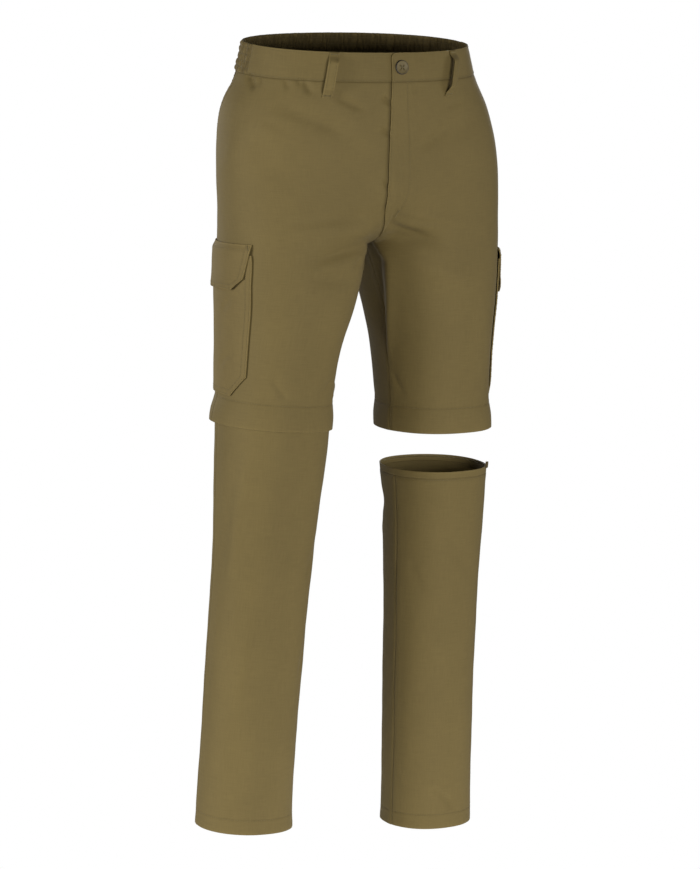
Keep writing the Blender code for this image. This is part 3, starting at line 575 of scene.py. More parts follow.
@dataclass(frozen=True)
class WovenTwill:
    """Cotton and polyester twill, piece-dyed and pressed: matt, with fine slanting ribs and slubs.

    The real ribs are about 0.5 mm apart. They are drawn at 1.3 mm, so that they show, and the slubs
    of the real 0.4 mm yarns at the same width.
    """

    name: str
    colour: str
    rib_pitch: float = 1.3 * MM
    rib_angle_deg: float = 63.0
    rib_depth: float = 0.05 * MM
    slub_length: float = 22 * MM
    slub_width: float = 1.3 * MM
    mottle_size: float = 70 * MM
    shade_change: float = 0.17
    # gain of the wear_and_shade attribute: it lightens rubbed cloth, and below zero it darkens the cloth as
    # painted shade
    wear_and_shade_gain: float = 0.20
    roughness: float = 0.78
    ior: float = 1.5
    sheen: float = 0.03
    sheen_roughness: float = 0.5
    gloss: float = 0.3
    rib_shade: float = 0.4
    slub_height: float = 0.8
    bump_strength: float = 0.35

    def material(self) -> bpy.types.Material:
        """Build the cloth from its map in metres, called cloth, and its attribute of wear and painted shade.

        Returns:
            The finished material.
        """
        material, tree, shader = new_material(self.name)
        flat = add_node(tree, "ShaderNodeUVMap", {"uv_map": "cloth"})
        parts = add_node(tree, "ShaderNodeSeparateXYZ", links={0: flat.outputs[0]})
        angle = math.radians(self.rib_angle_deg)
        rate = 2 * math.pi / self.rib_pitch
        by_u = add_node(tree, "ShaderNodeMath", {"operation": "MULTIPLY"},
                        {0: parts.outputs[0], 1: rate * math.sin(angle)})
        phase = add_node(tree, "ShaderNodeMath", {"operation": "MULTIPLY_ADD"},
                         {0: parts.outputs[1], 1: rate * math.cos(angle), 2: by_u.outputs[0]})
        ribs = add_node(tree, "ShaderNodeMath", {"operation": "SINE"}, {0: phase.outputs[0]})

        slubs = []
        for size_u, size_v in ((self.slub_length, self.slub_width), (self.slub_width, self.slub_length)):
            stretched = add_node(tree, "ShaderNodeVectorMath", {"operation": "MULTIPLY"},
                                 {0: flat.outputs[0], 1: (1 / size_u, 1 / size_v, 1.0)})
            slubs.append(add_node(tree, "ShaderNodeTexNoise", {"noise_dimensions": "2D"},
                                  {"Vector": stretched.outputs[0], "Scale": 1.0, "Detail": 2.0}))
        slub = add_node(tree, "ShaderNodeMath", {"operation": "ADD"},
                        {0: slubs[0].outputs[0], 1: slubs[1].outputs[0]})
        spot = add_node(tree, "ShaderNodeTexCoord")
        mottle = add_node(tree, "ShaderNodeTexNoise", {"noise_dimensions": "3D"},
                          {"Vector": spot.outputs["Object"], "Scale": 1 / self.mottle_size, "Detail": 3.0})

        # The wear_and_shade attribute lightens rubbed edges, paints shade into seams and sewn furrows, and
        # paints light and shade on the gathers' ridges and valleys.
        wear_and_shade = add_node(tree, "ShaderNodeAttribute", {"attribute_name": "wear_and_shade"})
        rubbed = add_node(tree, "ShaderNodeMath", {"operation": "MULTIPLY"},
                          {0: wear_and_shade.outputs["Fac"], 1: slub.outputs[0]})
        shade: object = 1 - self.shade_change * 1.5
        shares = ((slub, self.shade_change), (mottle, self.shade_change),
                  (ribs, self.shade_change * self.rib_shade), (rubbed, self.wear_and_shade_gain))
        for pattern, share in shares:
            shade = add_node(tree, "ShaderNodeMath", {"operation": "MULTIPLY_ADD"},
                             {0: pattern.outputs[0], 1: share, 2: shade}).outputs[0]
        dyed = add_node(tree, "ShaderNodeVectorMath", {"operation": "SCALE"},
                        {0: linear(self.colour)[:3], "Scale": shade})

        height = add_node(tree, "ShaderNodeMath", {"operation": "MULTIPLY_ADD"},
                          {0: slub.outputs[0], 1: self.slub_height, 2: ribs.outputs[0]})
        woven = add_node(tree, "ShaderNodeBump", links={
            "Strength": self.bump_strength, "Distance": self.rib_depth, "Height": height.outputs[0]})
        wire(tree, shader, {"Base Color": dyed.outputs[0], "Normal": woven.outputs[0],
                            "Roughness": self.roughness, "Metallic": 0.0, "IOR": self.ior,
                            "Specular IOR Level": self.gloss, "Sheen Weight": self.sheen,
                            "Sheen Roughness": self.sheen_roughness})
        return material


@dataclass(frozen=True)
class SpunThread:
    """Spun polyester sewing thread: two plies twisted, so each stitch has a faint slanting light."""

    name: str
    colour: str
    twist_pitch: float = 0.7 * MM
    roughness: float = 0.6
    ior: float = 1.54

    def material(self) -> bpy.types.Material:
        """Build the thread.

        Returns:
            The finished material.
        """
        material, tree, shader = new_material(self.name)
        spot = add_node(tree, "ShaderNodeTexCoord")
        twist = add_node(tree, "ShaderNodeTexWave", {"bands_direction": "DIAGONAL"},
                         {"Vector": spot.outputs["Object"], "Scale": 0.3 / self.twist_pitch,
                          "Distortion": 1.5})
        ply = add_node(tree, "ShaderNodeMapRange", links={0: twist.outputs["Fac"], 3: 0.85, 4: 1.12})
        dyed = add_node(tree, "ShaderNodeVectorMath", {"operation": "SCALE"},
                        {0: linear(self.colour)[:3], "Scale": ply.outputs[0]})
        wire(tree, shader, {"Base Color": dyed.outputs[0], "Roughness": self.roughness, "Metallic": 0.0,
                            "IOR": self.ior})
        return material


@dataclass(frozen=True)
class Moulded:
    """Injection-moulded or cast plastic: smooth, with a faint flow mottle and rubbed high spots."""

    name: str
    colour: str
    roughness: float
    ior: float
    mottle_size: float = 4 * MM
    mottle: float = 0.12
    rubbed: float = 0.06
    dull: float = 0.08

    def material(self) -> bpy.types.Material:
        """Build the plastic.

        Returns:
            The finished material.
        """
        material, tree, shader = new_material(self.name)
        spot = add_node(tree, "ShaderNodeTexCoord")
        flow = add_node(tree, "ShaderNodeTexNoise",
                        links={"Vector": spot.outputs["Object"], "Scale": 1 / self.mottle_size,
                               "Detail": 4.0, "Distortion": 0.8})
        shade = add_node(tree, "ShaderNodeMapRange",
                         links={0: flow.outputs[0], 3: 1 - self.mottle, 4: 1 + self.mottle})
        tinted = add_node(tree, "ShaderNodeVectorMath", {"operation": "SCALE"},
                          {0: linear(self.colour)[:3], "Scale": shade.outputs[0]})
        rub = add_node(tree, "ShaderNodeMapRange",
                       links={0: flow.outputs[0], 3: self.roughness - self.rubbed,
                              4: self.roughness + self.dull})
        wire(tree, shader, {"Base Color": tinted.outputs[0], "Roughness": rub.outputs[0], "Metallic": 0.0,
                            "IOR": self.ior})
        return material


@dataclass(frozen=True)
class PaleFloor:
    """Matt painted studio floor: very pale, with the faintest cloudiness."""

    name: str = "pale_studio_floor"
    colour: str = "#f4f4f2"
    roughness: float = 0.9
    glow: float = 0.55

    def material(self) -> bpy.types.Material:
        """Build the floor's paint, which glows a little so that it stays near white.

        Returns:
            The finished material.
        """
        material, tree, shader = new_material(self.name)
        spot = add_node(tree, "ShaderNodeTexCoord")
        cloud = add_node(tree, "ShaderNodeTexNoise", links={"Vector": spot.outputs["Object"], "Scale": 2.0})
        shade = add_node(tree, "ShaderNodeMapRange", links={0: cloud.outputs[0], 3: 0.99, 4: 1.01})
        paint = add_node(tree, "ShaderNodeVectorMath", {"operation": "SCALE"},
                         {0: linear(self.colour)[:3], "Scale": shade.outputs[0]})
        wire(tree, shader, {"Base Color": paint.outputs[0], "Roughness": self.roughness,
                            "Emission Color": linear(self.colour), "Emission Strength": self.glow})
        return material


@dataclass(frozen=True)
class Finishes:
    """Every finish of the garment, built once."""

    cloth: bpy.types.Material
    pocket: bpy.types.Material
    elastic: bpy.types.Material
    tape: bpy.types.Material
    thread: bpy.types.Material
    coil: bpy.types.Material
    button: bpy.types.Material
    button_edge: bpy.types.Material
    end_box: bpy.types.Material

    @classmethod
    def build(cls) -> "Finishes":
        """Build all of the materials.

        Returns:
            The set of finishes.
        """
        def twill(name: str, colour: str, **sizes: float) -> bpy.types.Material:
            """A woven finish."""
            return WovenTwill(name, colour, **sizes).material()

        def plastic(name: str, colour: str, roughness: float, ior: float) -> bpy.types.Material:
            """A moulded finish."""
            return Moulded(name, colour, roughness, ior).material()

        return cls(
            cloth=twill("olive_twill", "#74643a"),
            pocket=twill("olive_twill_pocket", "#78673c"),
            elastic=twill("olive_twill_gathered", "#6f5f37", rib_depth=0.07 * MM),
            tape=twill("knitted_zip_tape", "#5d5235", rib_pitch=1.8 * MM, rib_angle_deg=90.0),
            thread=SpunThread("spun_sewing_thread", "#75673f").material(),
            coil=plastic("drawn_nylon_zip_coil", "#766945", 0.38, 1.53),
            button=plastic("cast_polyester_button", "#6a5c35", 0.58, 1.55),
            # near-black plastic on the button's outer flank: a painted shadow round the button
            button_edge=plastic("cast_polyester_button_edge", "#2a2214", 0.6, 1.55),
            end_box=plastic("moulded_acetal_end_box", "#5a4d2e", 0.42, 1.48),
        )


# Making meshes


def link_piece(name: str, mesh: bpy.types.Mesh, material: bpy.types.Material,
               replaces: Sequence[str] = ()) -> bpy.types.Object:
    """Make a mesh a shown piece of the garment.

    Args:
        name: the piece's name.
        mesh: its mesh.
        material: its finish.
        replaces: the solids that it stands for.

    Returns:
        The new object.
    """
    mesh.materials.append(material)
    piece = bpy.data.objects.new(name, mesh)
    bpy.context.scene.collection.objects.link(piece)
    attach(piece, "root")
    if replaces:
        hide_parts(*replaces)
    LOG.info("%s: %d faces", name, len(mesh.polygons))
    return piece


def mesh_of(name: str, points: Array, faces: list[tuple[int, ...]] | Array) -> bpy.types.Mesh:
    """A smooth mesh from points and faces."""
    mesh = bpy.data.meshes.new(name)
    mesh.from_pydata(points.tolist(), [], faces.tolist() if isinstance(faces, np.ndarray) else faces)
    mesh.shade_smooth()
    return mesh


def quads(first: Array, second: Array) -> Array:
    """Faces between two rows of vertex numbers of equal length."""
    return np.stack([first[:-1], first[1:], second[1:], second[:-1]], -1).reshape(-1, 4)


def shell_mesh(name: str, outer: Array, inner: Array, flat: Array, wear_and_shade: Array, closed: bool = False,
               edge_round: float = 0.3) -> bpy.types.Mesh:
    """Close two grids of points into one thin shell with rounded edges.

    Args:
        name: the mesh's name.
        outer, inner: grids of points, rows by columns by 3.
        flat: place of each grid point on the flat cloth, in metres.
        wear_and_shade: how rubbed each grid point is, above zero, or how much painted shade it takes, below
            zero.
        closed: whether the last column meets the first.
        edge_round: how far the edges bulge, as a share of the wall.

    Returns:
        The mesh, with a map called cloth and an attribute called wear_and_shade.
    """
    rows, columns = outer.shape[:2]
    number = np.arange(rows * columns).reshape(rows, columns)
    if closed:
        number = np.concatenate([number, number[:, :1]], axis=1)
    faces = [np.concatenate([quads(number[r], number[r + 1]) for r in range(rows - 1)])]
    faces.append(faces[0] + rows * columns)
    rims = [number[0], number[-1]]
    if not closed:
        rims = [np.concatenate([number[0], number[1:, -1], number[-1, -2::-1], number[-2::-1, 0]])]
    points = [outer.reshape(-1, 3), inner.reshape(-1, 3)]
    # worn holds each point's wear and painted shade.
    flats, worn = [flat.reshape(-1, 2)] * 2, [wear_and_shade.ravel()] * 2
    total = 2 * rows * columns
    for rim in rims:
        ring = rim[:-1]
        out, back = points[0][ring], points[1][ring]
        inside = neighbour_points(outer, ring, rows, columns, closed)
        away = out - inside
        away /= np.maximum(np.linalg.norm(away, axis=1, keepdims=True), 1e-9)
        wall = np.linalg.norm(out - back, axis=1, keepdims=True)
        middle = total + np.append(np.arange(len(ring)), 0)
        faces += [quads(rim, middle), quads(rim + rows * columns, middle)]
        points.append((out + back) / 2 + away * wall * edge_round)
        flats.append(flats[0][ring])
        worn.append(worn[0][ring])
        total += len(ring)
    mesh = mesh_of(name, np.concatenate(points), np.concatenate(faces))
    work = bmesh.new()
    work.from_mesh(mesh)
    bmesh.ops.recalc_face_normals(work, faces=work.faces)
    work.to_mesh(mesh)
    work.free()
    corner = np.zeros(len(mesh.loops), int)
    mesh.loops.foreach_get("vertex_index", corner)
    layer = mesh.uv_layers.new(name="cloth")
    layer.uv.foreach_set("vector", np.concatenate(flats)[corner].astype(np.float32).ravel())
    # rubbed: the attribute of wear and painted shade
    rubbed = mesh.attributes.new("wear_and_shade", "FLOAT", "POINT")
    rubbed.data.foreach_set("value", np.concatenate(worn).astype(np.float32))
    return mesh


def neighbour_points(grid: Array, ring: Array, rows: int, columns: int, closed: bool) -> Array:
    """The grid point one step inside each rim point.

    Args:
        grid: the outer grid.
        ring: numbers of the rim points.
        rows, columns: size of the grid.
        closed: whether the grid runs right round.

    Returns:
        One point for each rim point.
    """
    row, column = np.divmod(ring, columns)
    row = np.clip(row, 1, rows - 2) if rows > 2 else rows - 1 - row
    if not closed:
        column = np.clip(column, 1, columns - 2)
    return grid[row, column]


class Strands:
    """Short threads, such as stitches and zip coils, joined into one mesh."""

    PROFILE = ((-0.5, 0.35, -0.4), (-0.2, 1.0, 0.25), (0.2, 1.0, 0.25), (0.5, 0.35, -0.4))

    def __init__(self) -> None:
        """Start with no strands."""
        self.points: list[Array] = []

    def add(self, centre: Array, along: Array, normal: Array, length: float, radius: float) -> None:
        """Add strands that lie on a surface.

        Args:
            centre: middles of the strands, n by 3.
            along: unit directions of the strands.
            normal: unit normals of the surface.
            length: length of each strand.
            radius: its thickest radius.
        """
        across = np.cross(along, normal)
        rings = []
        for share, thick, height in self.PROFILE:
            middle = centre + along * (share * length) + normal * (height * radius)
            for quarter in range(4):
                c, s = math.cos(quarter * math.pi / 2), math.sin(quarter * math.pi / 2)
                rings.append(middle + (across * c + normal * s) * radius * thick)
        self.points.append(np.stack(rings, 1))

    def mesh(self, name: str) -> bpy.types.Mesh:
        """Join every strand into one mesh.

        Args:
            name: the mesh's name.

        Returns:
            The mesh.
        """
        points = np.concatenate(self.points)
        count, size = points.shape[:2]
        one = [(0, 1, 2, 3), (size - 1, size - 2, size - 3, size - 4)]
        for ring in range(len(self.PROFILE) - 1):
            for k in range(4):
                low, high = ring * 4 + k, ring * 4 + (k + 1) % 4
                one.append((low + 4, high + 4, high, low))
        faces = (np.arange(count)[:, None, None] * size + np.array(one)[None]).reshape(-1, 4)
        return mesh_of(name, points.reshape(-1, 3), faces)


@dataclass
class SewnLine:
    """A row of stitches along a path of turns and levels, the furrow that it pulls and the painted shade
    along that furrow.
    """

    path: Array
    pull: float = 0.30 * MM
    furrow: float = 1.3 * MM
    pucker: float = 0.10 * MM
    # how dark the painted shade along the furrow is
    shade: float = 0.25
    pitch: float = 3.4 * MM
    length: float = 2.5 * MM
    radius: float = 0.24 * MM
    ripple: float = 7 * MM
    stitched: bool = True

    def near(self, turn: Array, level: Array, per_turn: Array) -> tuple[Array, Array]:
        """Distance to the row, and how far along it the nearest place is.

        Args:
            turn, level: the places asked for.
            per_turn: metres for each turn there.

        Returns:
            Both distances in metres.
        """
        nearest = np.full(turn.shape, 1.0)
        run = np.zeros(turn.shape)
        passed = 0.0
        for (turn_a, level_a), (turn_b, level_b) in zip(self.path[:-1], self.path[1:]):
            leg_x, leg_y = (turn_b - turn_a) * per_turn, level_b - level_a
            x, y = (turn - turn_a) * per_turn, level - level_a
            size = np.maximum(leg_x**2 + leg_y**2, 1e-12)
            share = np.clip((x * leg_x + y * leg_y) / size, 0, 1)
            gap = np.hypot(x - share * leg_x, y - share * leg_y)
            closer = gap < nearest
            nearest = np.where(closer, gap, nearest)
            run = np.where(closer, passed + share * np.sqrt(size), run)
            passed += float(np.mean(np.sqrt(size)))
        return nearest, run

    def sink(self, turn: Array, level: Array, per_turn: Array) -> Array:
        """How far the row pulls the cloth in: negative where it does."""
        nearest, run = self.near(turn, level, per_turn)
        wave = np.sin(run * 2 * math.pi / self.ripple + 1.7 * np.sin(run * 60))
        return -self.pull * bump(nearest, self.furrow) + self.pucker * wave * bump(nearest, 4 * self.furrow)


def resampled(path: Array, points: Array, step: float) -> tuple[Array, Array]:
    """Space a path evenly.

    Args:
        path: turns and levels along the path.
        points: the same places in space.
        step: distance between new places.

    Returns:
        The new turns and levels.
    """
    run = np.concatenate([[0], np.cumsum(np.linalg.norm(np.diff(points, axis=0), axis=1))])
    at = np.arange(step / 2, run[-1], step)
    return np.interp(at, run, path[:, 0]), np.interp(at, run, path[:, 1])


def spaced(length: float, step: float, marks: Sequence[float] = (), fine: Sequence[float] = ()) -> Array:
    """Positions from 0 to length, closer together round each mark.

    Args:
        length: the whole distance.
        step: usual spacing.
        marks: places that need finer spacing.
        fine: distances on both sides of each mark that get a position.

    Returns:
        Sorted positions with both ends.
    """
    plain = np.linspace(0, length, max(2, int(round(length / step)) + 1))
    wanted = [m + s * d for m in marks for d in fine for s in (-1, 1) if 0 < m + s * d < length]
    kept = [0.0, length]
    for place in [*wanted, *plain[1:-1]]:
        if min(abs(place - k) for k in kept) > 0.45 * min([step, *np.diff([0, *fine])] if fine else [step]):
            kept.append(place)
    return np.array(sorted(kept))


EDGE_FINE = (0.0, 0.9 * MM, 1.9 * MM, 3.1 * MM)
# How far each kind of edge is lightened by rubbing or, below zero, darkened by painted shade in its seam
# groove, and how far in that reaches
EDGE_WEAR_AND_SHADE = {EdgeKind.SEAM: (-1.0, 0.9 * MM), EdgeKind.FOLDED: (0.7, 1.6 * MM), EdgeKind.RAW: (0.3, 1.0 * MM)}


@dataclass
class Panel:
    """One cut panel of cloth between two edges, with its seams, sewn lines and stand-off."""

    name: str
    side: Side
    top: float
    bottom: float
    start: Callable[[Array], Array]
    end: Callable[[Array], Array]
    stand: Callable[[Array, Array], Array]
    kinds: tuple[EdgeKind, EdgeKind, EdgeKind, EdgeKind]
    wall: float = CUT.cloth
    step: float = 3.2 * MM
    hem_depth: float = 0.0
    hem_layer: float = 0.0
    fold_depth: float = 9 * MM
    allowance: float = 0.28 * MM
    roll: float = 0.55 * MM
    roll_reach: float = 1.1 * MM
    lines: list[SewnLine] = field(default_factory=list)
    marks: list[float] = field(default_factory=list)

    def edge_lift(self, distance: Array, kind: EdgeKind) -> Array:
        """How an edge lies: a seam rolls in, and both a seam and a fold stand on their allowance.

        Args:
            distance: distance from the edge.
            kind: how the edge is made up.

        Returns:
            Lift of the cloth.
        """
        if kind is EdgeKind.RAW:
            return np.zeros_like(distance)
        stand = self.allowance * smooth(self.fold_depth + 1.5 * MM, self.fold_depth - 0.5 * MM, distance)
        return stand - (self.roll * bump(distance, self.roll_reach) if kind is EdgeKind.SEAM else 0.0)

    def gaps(self, turn: Array, level: Array) -> tuple[Array, tuple[Array, ...]]:
        """Distances from places on the panel to its edges.

        Args:
            turn, level: places on the panel.

        Returns:
            Metres for each turn there, and the distances to the start, end, top and bottom.
        """
        per_turn = BODY.per_turn(self.side, turn, level)
        sides = [np.abs(turn - edge(level)) * per_turn for edge in (self.start, self.end)]
        return per_turn, (*sides, self.top - level, level - self.bottom)

    def lift(self, turn: Array, level: Array) -> Array:
        """Outer face over the folded body surface, with every seam and sewn line.

        Args:
            turn, level: places on the panel.

        Returns:
            Lifts in metres.
        """
        per_turn, gaps = self.gaps(turn, level)
        lift = self.stand(turn, level)
        for gap, kind in zip(gaps, self.kinds):
            lift = lift + self.edge_lift(gap, kind)
        for line in self.lines:
            lift = lift + line.sink(turn, level, per_turn)
        return lift

    def levels(self) -> Array:
        """Levels of the grid's rows, finer at the edges and at the sewn marks."""
        height = self.top - self.bottom
        marks = [0.0, height, *(self.top - mark for mark in self.marks)]
        return self.top - spaced(height, self.step, marks, EDGE_FINE)

    def grid(self) -> tuple[Array, Array, Array]:
        """The panel's grid.

        Returns:
            Turns, levels and flat places.
        """
        levels = self.levels()
        start, end = self.start(levels), self.end(levels)
        width = np.abs(end - start) * BODY.per_turn(self.side, (start + end) / 2, levels)
        widest = float(width.max())
        share = spaced(widest, self.step, (0.0, widest), EDGE_FINE) / widest
        turn = start[:, None] + (end - start)[:, None] * share
        level = np.repeat(levels[:, None], len(share), axis=1)
        flat = np.stack([(share - 0.5) * width[:, None], level], -1)
        return turn, level, flat

    def mesh(self) -> bpy.types.Mesh:
        """The panel as a closed thin shell.

        Returns:
            The mesh.
        """
        turn, level, flat = self.grid()
        lift = self.lift(turn, level)
        per_turn, gaps = self.gaps(turn, level)
        hem = 0.0
        if self.hem_depth:
            hem = self.hem_layer * smooth(self.hem_depth + 2 * MM, self.hem_depth - 1 * MM, gaps[-1])
        outer, inner = BODY.place(self.side, turn, level, lift, lift - self.wall - hem)
        # Rubbing lightens the folded and raw edges; painted shade darkens the seams and the furrow of each
        # sewn line.
        wear_and_shade = np.zeros(level.shape)
        for gap, kind in zip(gaps, self.kinds):
            rubbed, reach = EDGE_WEAR_AND_SHADE[kind]
            wear_and_shade = wear_and_shade + rubbed * np.exp(-gap / reach)
        for line in self.lines:
            wear_and_shade = wear_and_shade - line.shade * bump(line.near(turn, level, per_turn)[0], line.furrow)
        return shell_mesh(self.name, outer, inner, flat, wear_and_shade)

    def sew(self, strands: Strands) -> None:
        """Lay every row of stitches on the panel.

        Args:
            strands: where the stitches are collected.
        """
        for line in self.lines:
            if line.stitched:
                lay_stitches(strands, line, self.side, self.lift)


def directions(points: Array) -> Array:
    """Unit directions along a row of points."""
    along = np.gradient(points, axis=0)
    return along / np.linalg.norm(along, axis=1, keepdims=True)


def lay_stitches(strands: Strands, line: SewnLine, side: Side, lift: Callable[[Array, Array], Array]) -> None:
    """Lay one row of stitches on a surface.

    Args:
        strands: where the stitches are collected.
        line: the row.
        side: the wearer's side.
        lift: outer face of the cloth below, over the body surface.
    """
    turn, level = line.path[:, 0], line.path[:, 1]
    share = np.linspace(0, 1, 12 * len(turn))
    knots = np.linspace(0, 1, len(turn))
    turn, level = np.interp(share, knots, turn), np.interp(share, knots, level)
    (points,) = BODY.place(side, turn, level, lift(turn, level))
    turn, level = resampled(np.stack([turn, level], -1), points, line.pitch)
    if len(turn) < 3:
        return
    (centre,) = BODY.place(side, turn, level, lift(turn, level) + line.radius * 0.5)
    strands.add(centre, directions(centre), BODY.outward(side, turn, level), line.length, line.radius)


def edge_path(side: Side, edge: Callable[[Array], Array], offset: float, high: float, low: float,
              count: int = 40) -> Array:
    """Path at a distance inside a panel's edge.

    Args:
        side: the wearer's side.
        edge: the edge's turn at each level.
        offset: distance along the cloth, towards larger turns.
        high, low: levels where the path starts and ends.
        count: number of places.

    Returns:
        Turns and levels.
    """
    level = np.linspace(high, low, count)
    turn = edge(level)
    return np.stack([turn + BODY.turn_for(side, turn, level, offset), level], -1)


def level_path(start: float, end: float, level: float, count: int = 30) -> Array:
    """Path round the body at one level."""
    return np.stack([np.linspace(start, end, count), np.full(count, level)], -1)


def bar_tack(strands: Strands, side: Side, lift: Callable[[Array, Array], Array], turn: float, level: float,
             run: tuple[float, float], width: float = 1.8 * MM, radius: float = 0.34 * MM) -> None:
    """A dense bar of stitches that secures an end.

    Args:
        strands: where the stitches are collected.
        side: the wearer's side.
        lift: outer face of the cloth below.
        turn, level: the tack's middle.
        run: the tack's extent along the cloth and down it, in metres.
        width: length of its cross stitches.
        radius: thickness of their thread.
    """
    size = math.hypot(*run)
    share = np.linspace(-0.5, 0.5, max(3, int(size / (0.55 * MM))))
    per_turn = float(BODY.per_turn(side, np.array(turn), np.array(level)))
    turns, levels = turn + share * run[0] / per_turn, level + share * run[1]
    (centre,) = BODY.place(side, turns, levels, lift(turns, levels) + 0.3 * MM)
    normal = BODY.outward(side, turns, levels)
    strands.add(centre, np.cross(normal, directions(centre)), normal, width, radius)


def seam_edge(side: Side, turn: float, way: int) -> Callable[[Array], Array]:
    """Turn of a panel's edge, half a seam gap inside its seam."""
    return lambda level: turn + way * BODY.turn_for(side, turn, level, CUT.seam_gap / 2)


class FlatCut(NamedTuple):
    """Size of a piece before it is sewn: width, length and area, in metres."""

    width: float
    length: float
    area: float | None = None


class Detail(NamedTuple):
    """The stitches or the teeth on a sheet, and their finish."""

    word: str
    strands: Strands
    finish: bpy.types.Material
    slot: Slot


def add_sheet(name: str, kind: str, mesh: bpy.types.Mesh, finish: bpy.types.Material,
              detail: Detail | None = None) -> None:
    """Show a sheet of cloth with what is sewn into it.

    Args:
        name: the solid that it stands for.
        kind: the word that the shown piece's name ends in.
        mesh: its mesh.
        finish: its material.
        detail: its stitches or teeth.
    """
    piece = link_piece(f"{name}_{kind}", mesh, finish, [name])
    extra = []
    if detail:
        word = f"{name}_{detail.word}"
        extra = [link_piece(word, detail.strands.mesh(word), detail.finish)]


# Sub-assemblies


@dataclass
class Shorts:
    """Front and back panels of one side, from the waist seam to the flap over the knee zip."""

    side: Side
    finishes: Finishes
    flap_stand: float = 3.8 * MM
    outer_flare: tuple[float, float] = (3.4 * MM, 0.6 * MM)
    flap_full: float = 12 * MM
    flap_fade: float = 42 * MM
    hem_depth: float = 33 * MM
    lap_ends: tuple[float, float] = (-238 * MM, -198 * MM)
    lap_lift_ends: tuple[float, float] = (-262 * MM, -246 * MM)
    pocket_bottom: float = -166 * MM
    pocket_turn: float = 0.125
    pocket_gape: float = 1.6 * MM
    fly_turn: float = 0.935
    fly_bottom: float = -200 * MM
    fly_bend: float = -168 * MM
    fly_foot: float = -208 * MM
    fly_tack: float = -206 * MM
    front_cut: tuple[FlatCut, FlatCut] = (FlatCut(0.363, 0.545, 0.1378), FlatCut(0.364, 0.552, 0.1425))
    back_cut: tuple[FlatCut, FlatCut] = (FlatCut(0.280, 0.572, 0.1119), FlatCut(0.280, 0.577, 0.1149))

    @property
    def hem(self) -> float:
        """Level of the lower edge."""
        return CUT.of(CUT.shorts_hem, self.side)

    def flare(self, turn: Array, level: Array) -> Array:
        """How far the lower edge stands off the leg, so that it covers the zip."""
        above = level - self.hem
        near_hem = 1 - smooth(self.flap_full, self.flap_fade, above)
        outer = CUT.of(self.outer_flare, self.side) * bump(turn + 0.12, 0.3)
        return (self.flap_stand + outer * smooth(self.flap_fade, 0.0, above)) * near_hem

    def opening(self, level: Array) -> Array:
        """Turn of the slanting pocket edge, which runs back into the outseam."""
        return self.pocket_turn * smooth(self.pocket_bottom, CUT.band_bottom, level)

    def front_start(self, level: Array) -> Array:
        """The front's outer edge: the pocket slant at the top, the outseam below it."""
        return np.maximum(seam_edge(self.side, 0.0, 1)(level), self.opening(level))

    def front_end(self, level: Array) -> Array:
        """The front's inner edge; the left one passes the centre to make the fly's lap."""
        plain = seam_edge(self.side, 1.0, -1)(level)
        if self.side is Side.RIGHT:
            return plain
        width = CUT.lap_width + (CUT.lap_low_width - CUT.lap_width) * smooth(*CUT.lap_widens, level)
        past = 1 + BODY.turn_for(Side.LEFT, 1.0, level, width)
        return plain + (past - plain) * smooth(*self.lap_ends, level)

    def front_stand(self, turn: Array, level: Array) -> Array:
        """Stand-off of the front: the flap's flare, the fly's lap and the gaping pocket edge.

        Args:
            turn, level: places on the front.

        Returns:
            Lifts in metres.
        """
        stand = self.flare(turn, level)
        if self.side is Side.LEFT:
            lap = CUT.layer_gap + CUT.cloth
            stand = stand + lap * smooth(*CUT.lap_fade, turn) * smooth(*self.lap_lift_ends, level)
        from_edge = (turn - self.opening(level)) * BODY.arc
        slant = smooth(CUT.band_bottom, -70 * MM, level) * smooth(self.pocket_bottom, -110 * MM, level)
        return stand + self.pocket_gape * slant * bump(np.maximum(from_edge, 0), 16 * MM)

    def front_lines(self) -> list[SewnLine]:
        """Rows of stitches on the front.

        Returns:
            The sewn lines.
        """
        side, top, hem_line = self.side, CUT.band_bottom, self.hem + self.hem_depth
        lines = [
            SewnLine(level_path(0.01, 0.985, hem_line), pull=0.45 * MM, pucker=0.16 * MM),
            SewnLine(edge_path(side, self.front_start, 1.6 * MM, top - 2 * MM, self.pocket_bottom)),
            SewnLine(edge_path(side, self.front_start, 7.5 * MM, top - 2 * MM, self.pocket_bottom)),
            SewnLine(edge_path(side, self.front_end, -1.6 * MM, hem_line - 1 * MM, self.hem + 2 * MM, 12)),
        ]
        if side is Side.LEFT:
            lines.append(SewnLine(edge_path(side, self.front_end, -1.8 * MM, top - 2 * MM, self.fly_tack)))
            lines.append(SewnLine(self.fly_curve(), pull=0.4 * MM))
        else:
            # An unstitched furrow on the right front beside the left front's lap edge, with a strong painted
            # shadow of the lap.
            left = Shorts(Side.LEFT, self.finishes)
            beside = edge_path(Side.LEFT, left.front_end, 0.9 * MM, top - 2 * MM, self.fly_bottom)
            beside[:, 0] = 2 - beside[:, 0]
            lines.append(SewnLine(beside, pull=0.6 * MM, furrow=2.0 * MM, shade=1.6, stitched=False))
        return lines

    def fly_curve(self) -> Array:
        """The J of stitches beside the fly, straight and then a quarter round to the edge.

        Returns:
            Turns and levels.
        """
        straight = np.linspace(CUT.band_bottom - 2 * MM, self.fly_bend, 20)
        angle = np.linspace(0, math.pi / 2, 14)[1:]
        turn = self.fly_turn + (1 - self.fly_turn) * (1 - np.cos(angle))
        level = self.fly_bend - (self.fly_bend - self.fly_foot) * np.sin(angle)
        return np.stack([np.append(np.full(20, self.fly_turn), turn), np.append(straight, level)], -1)

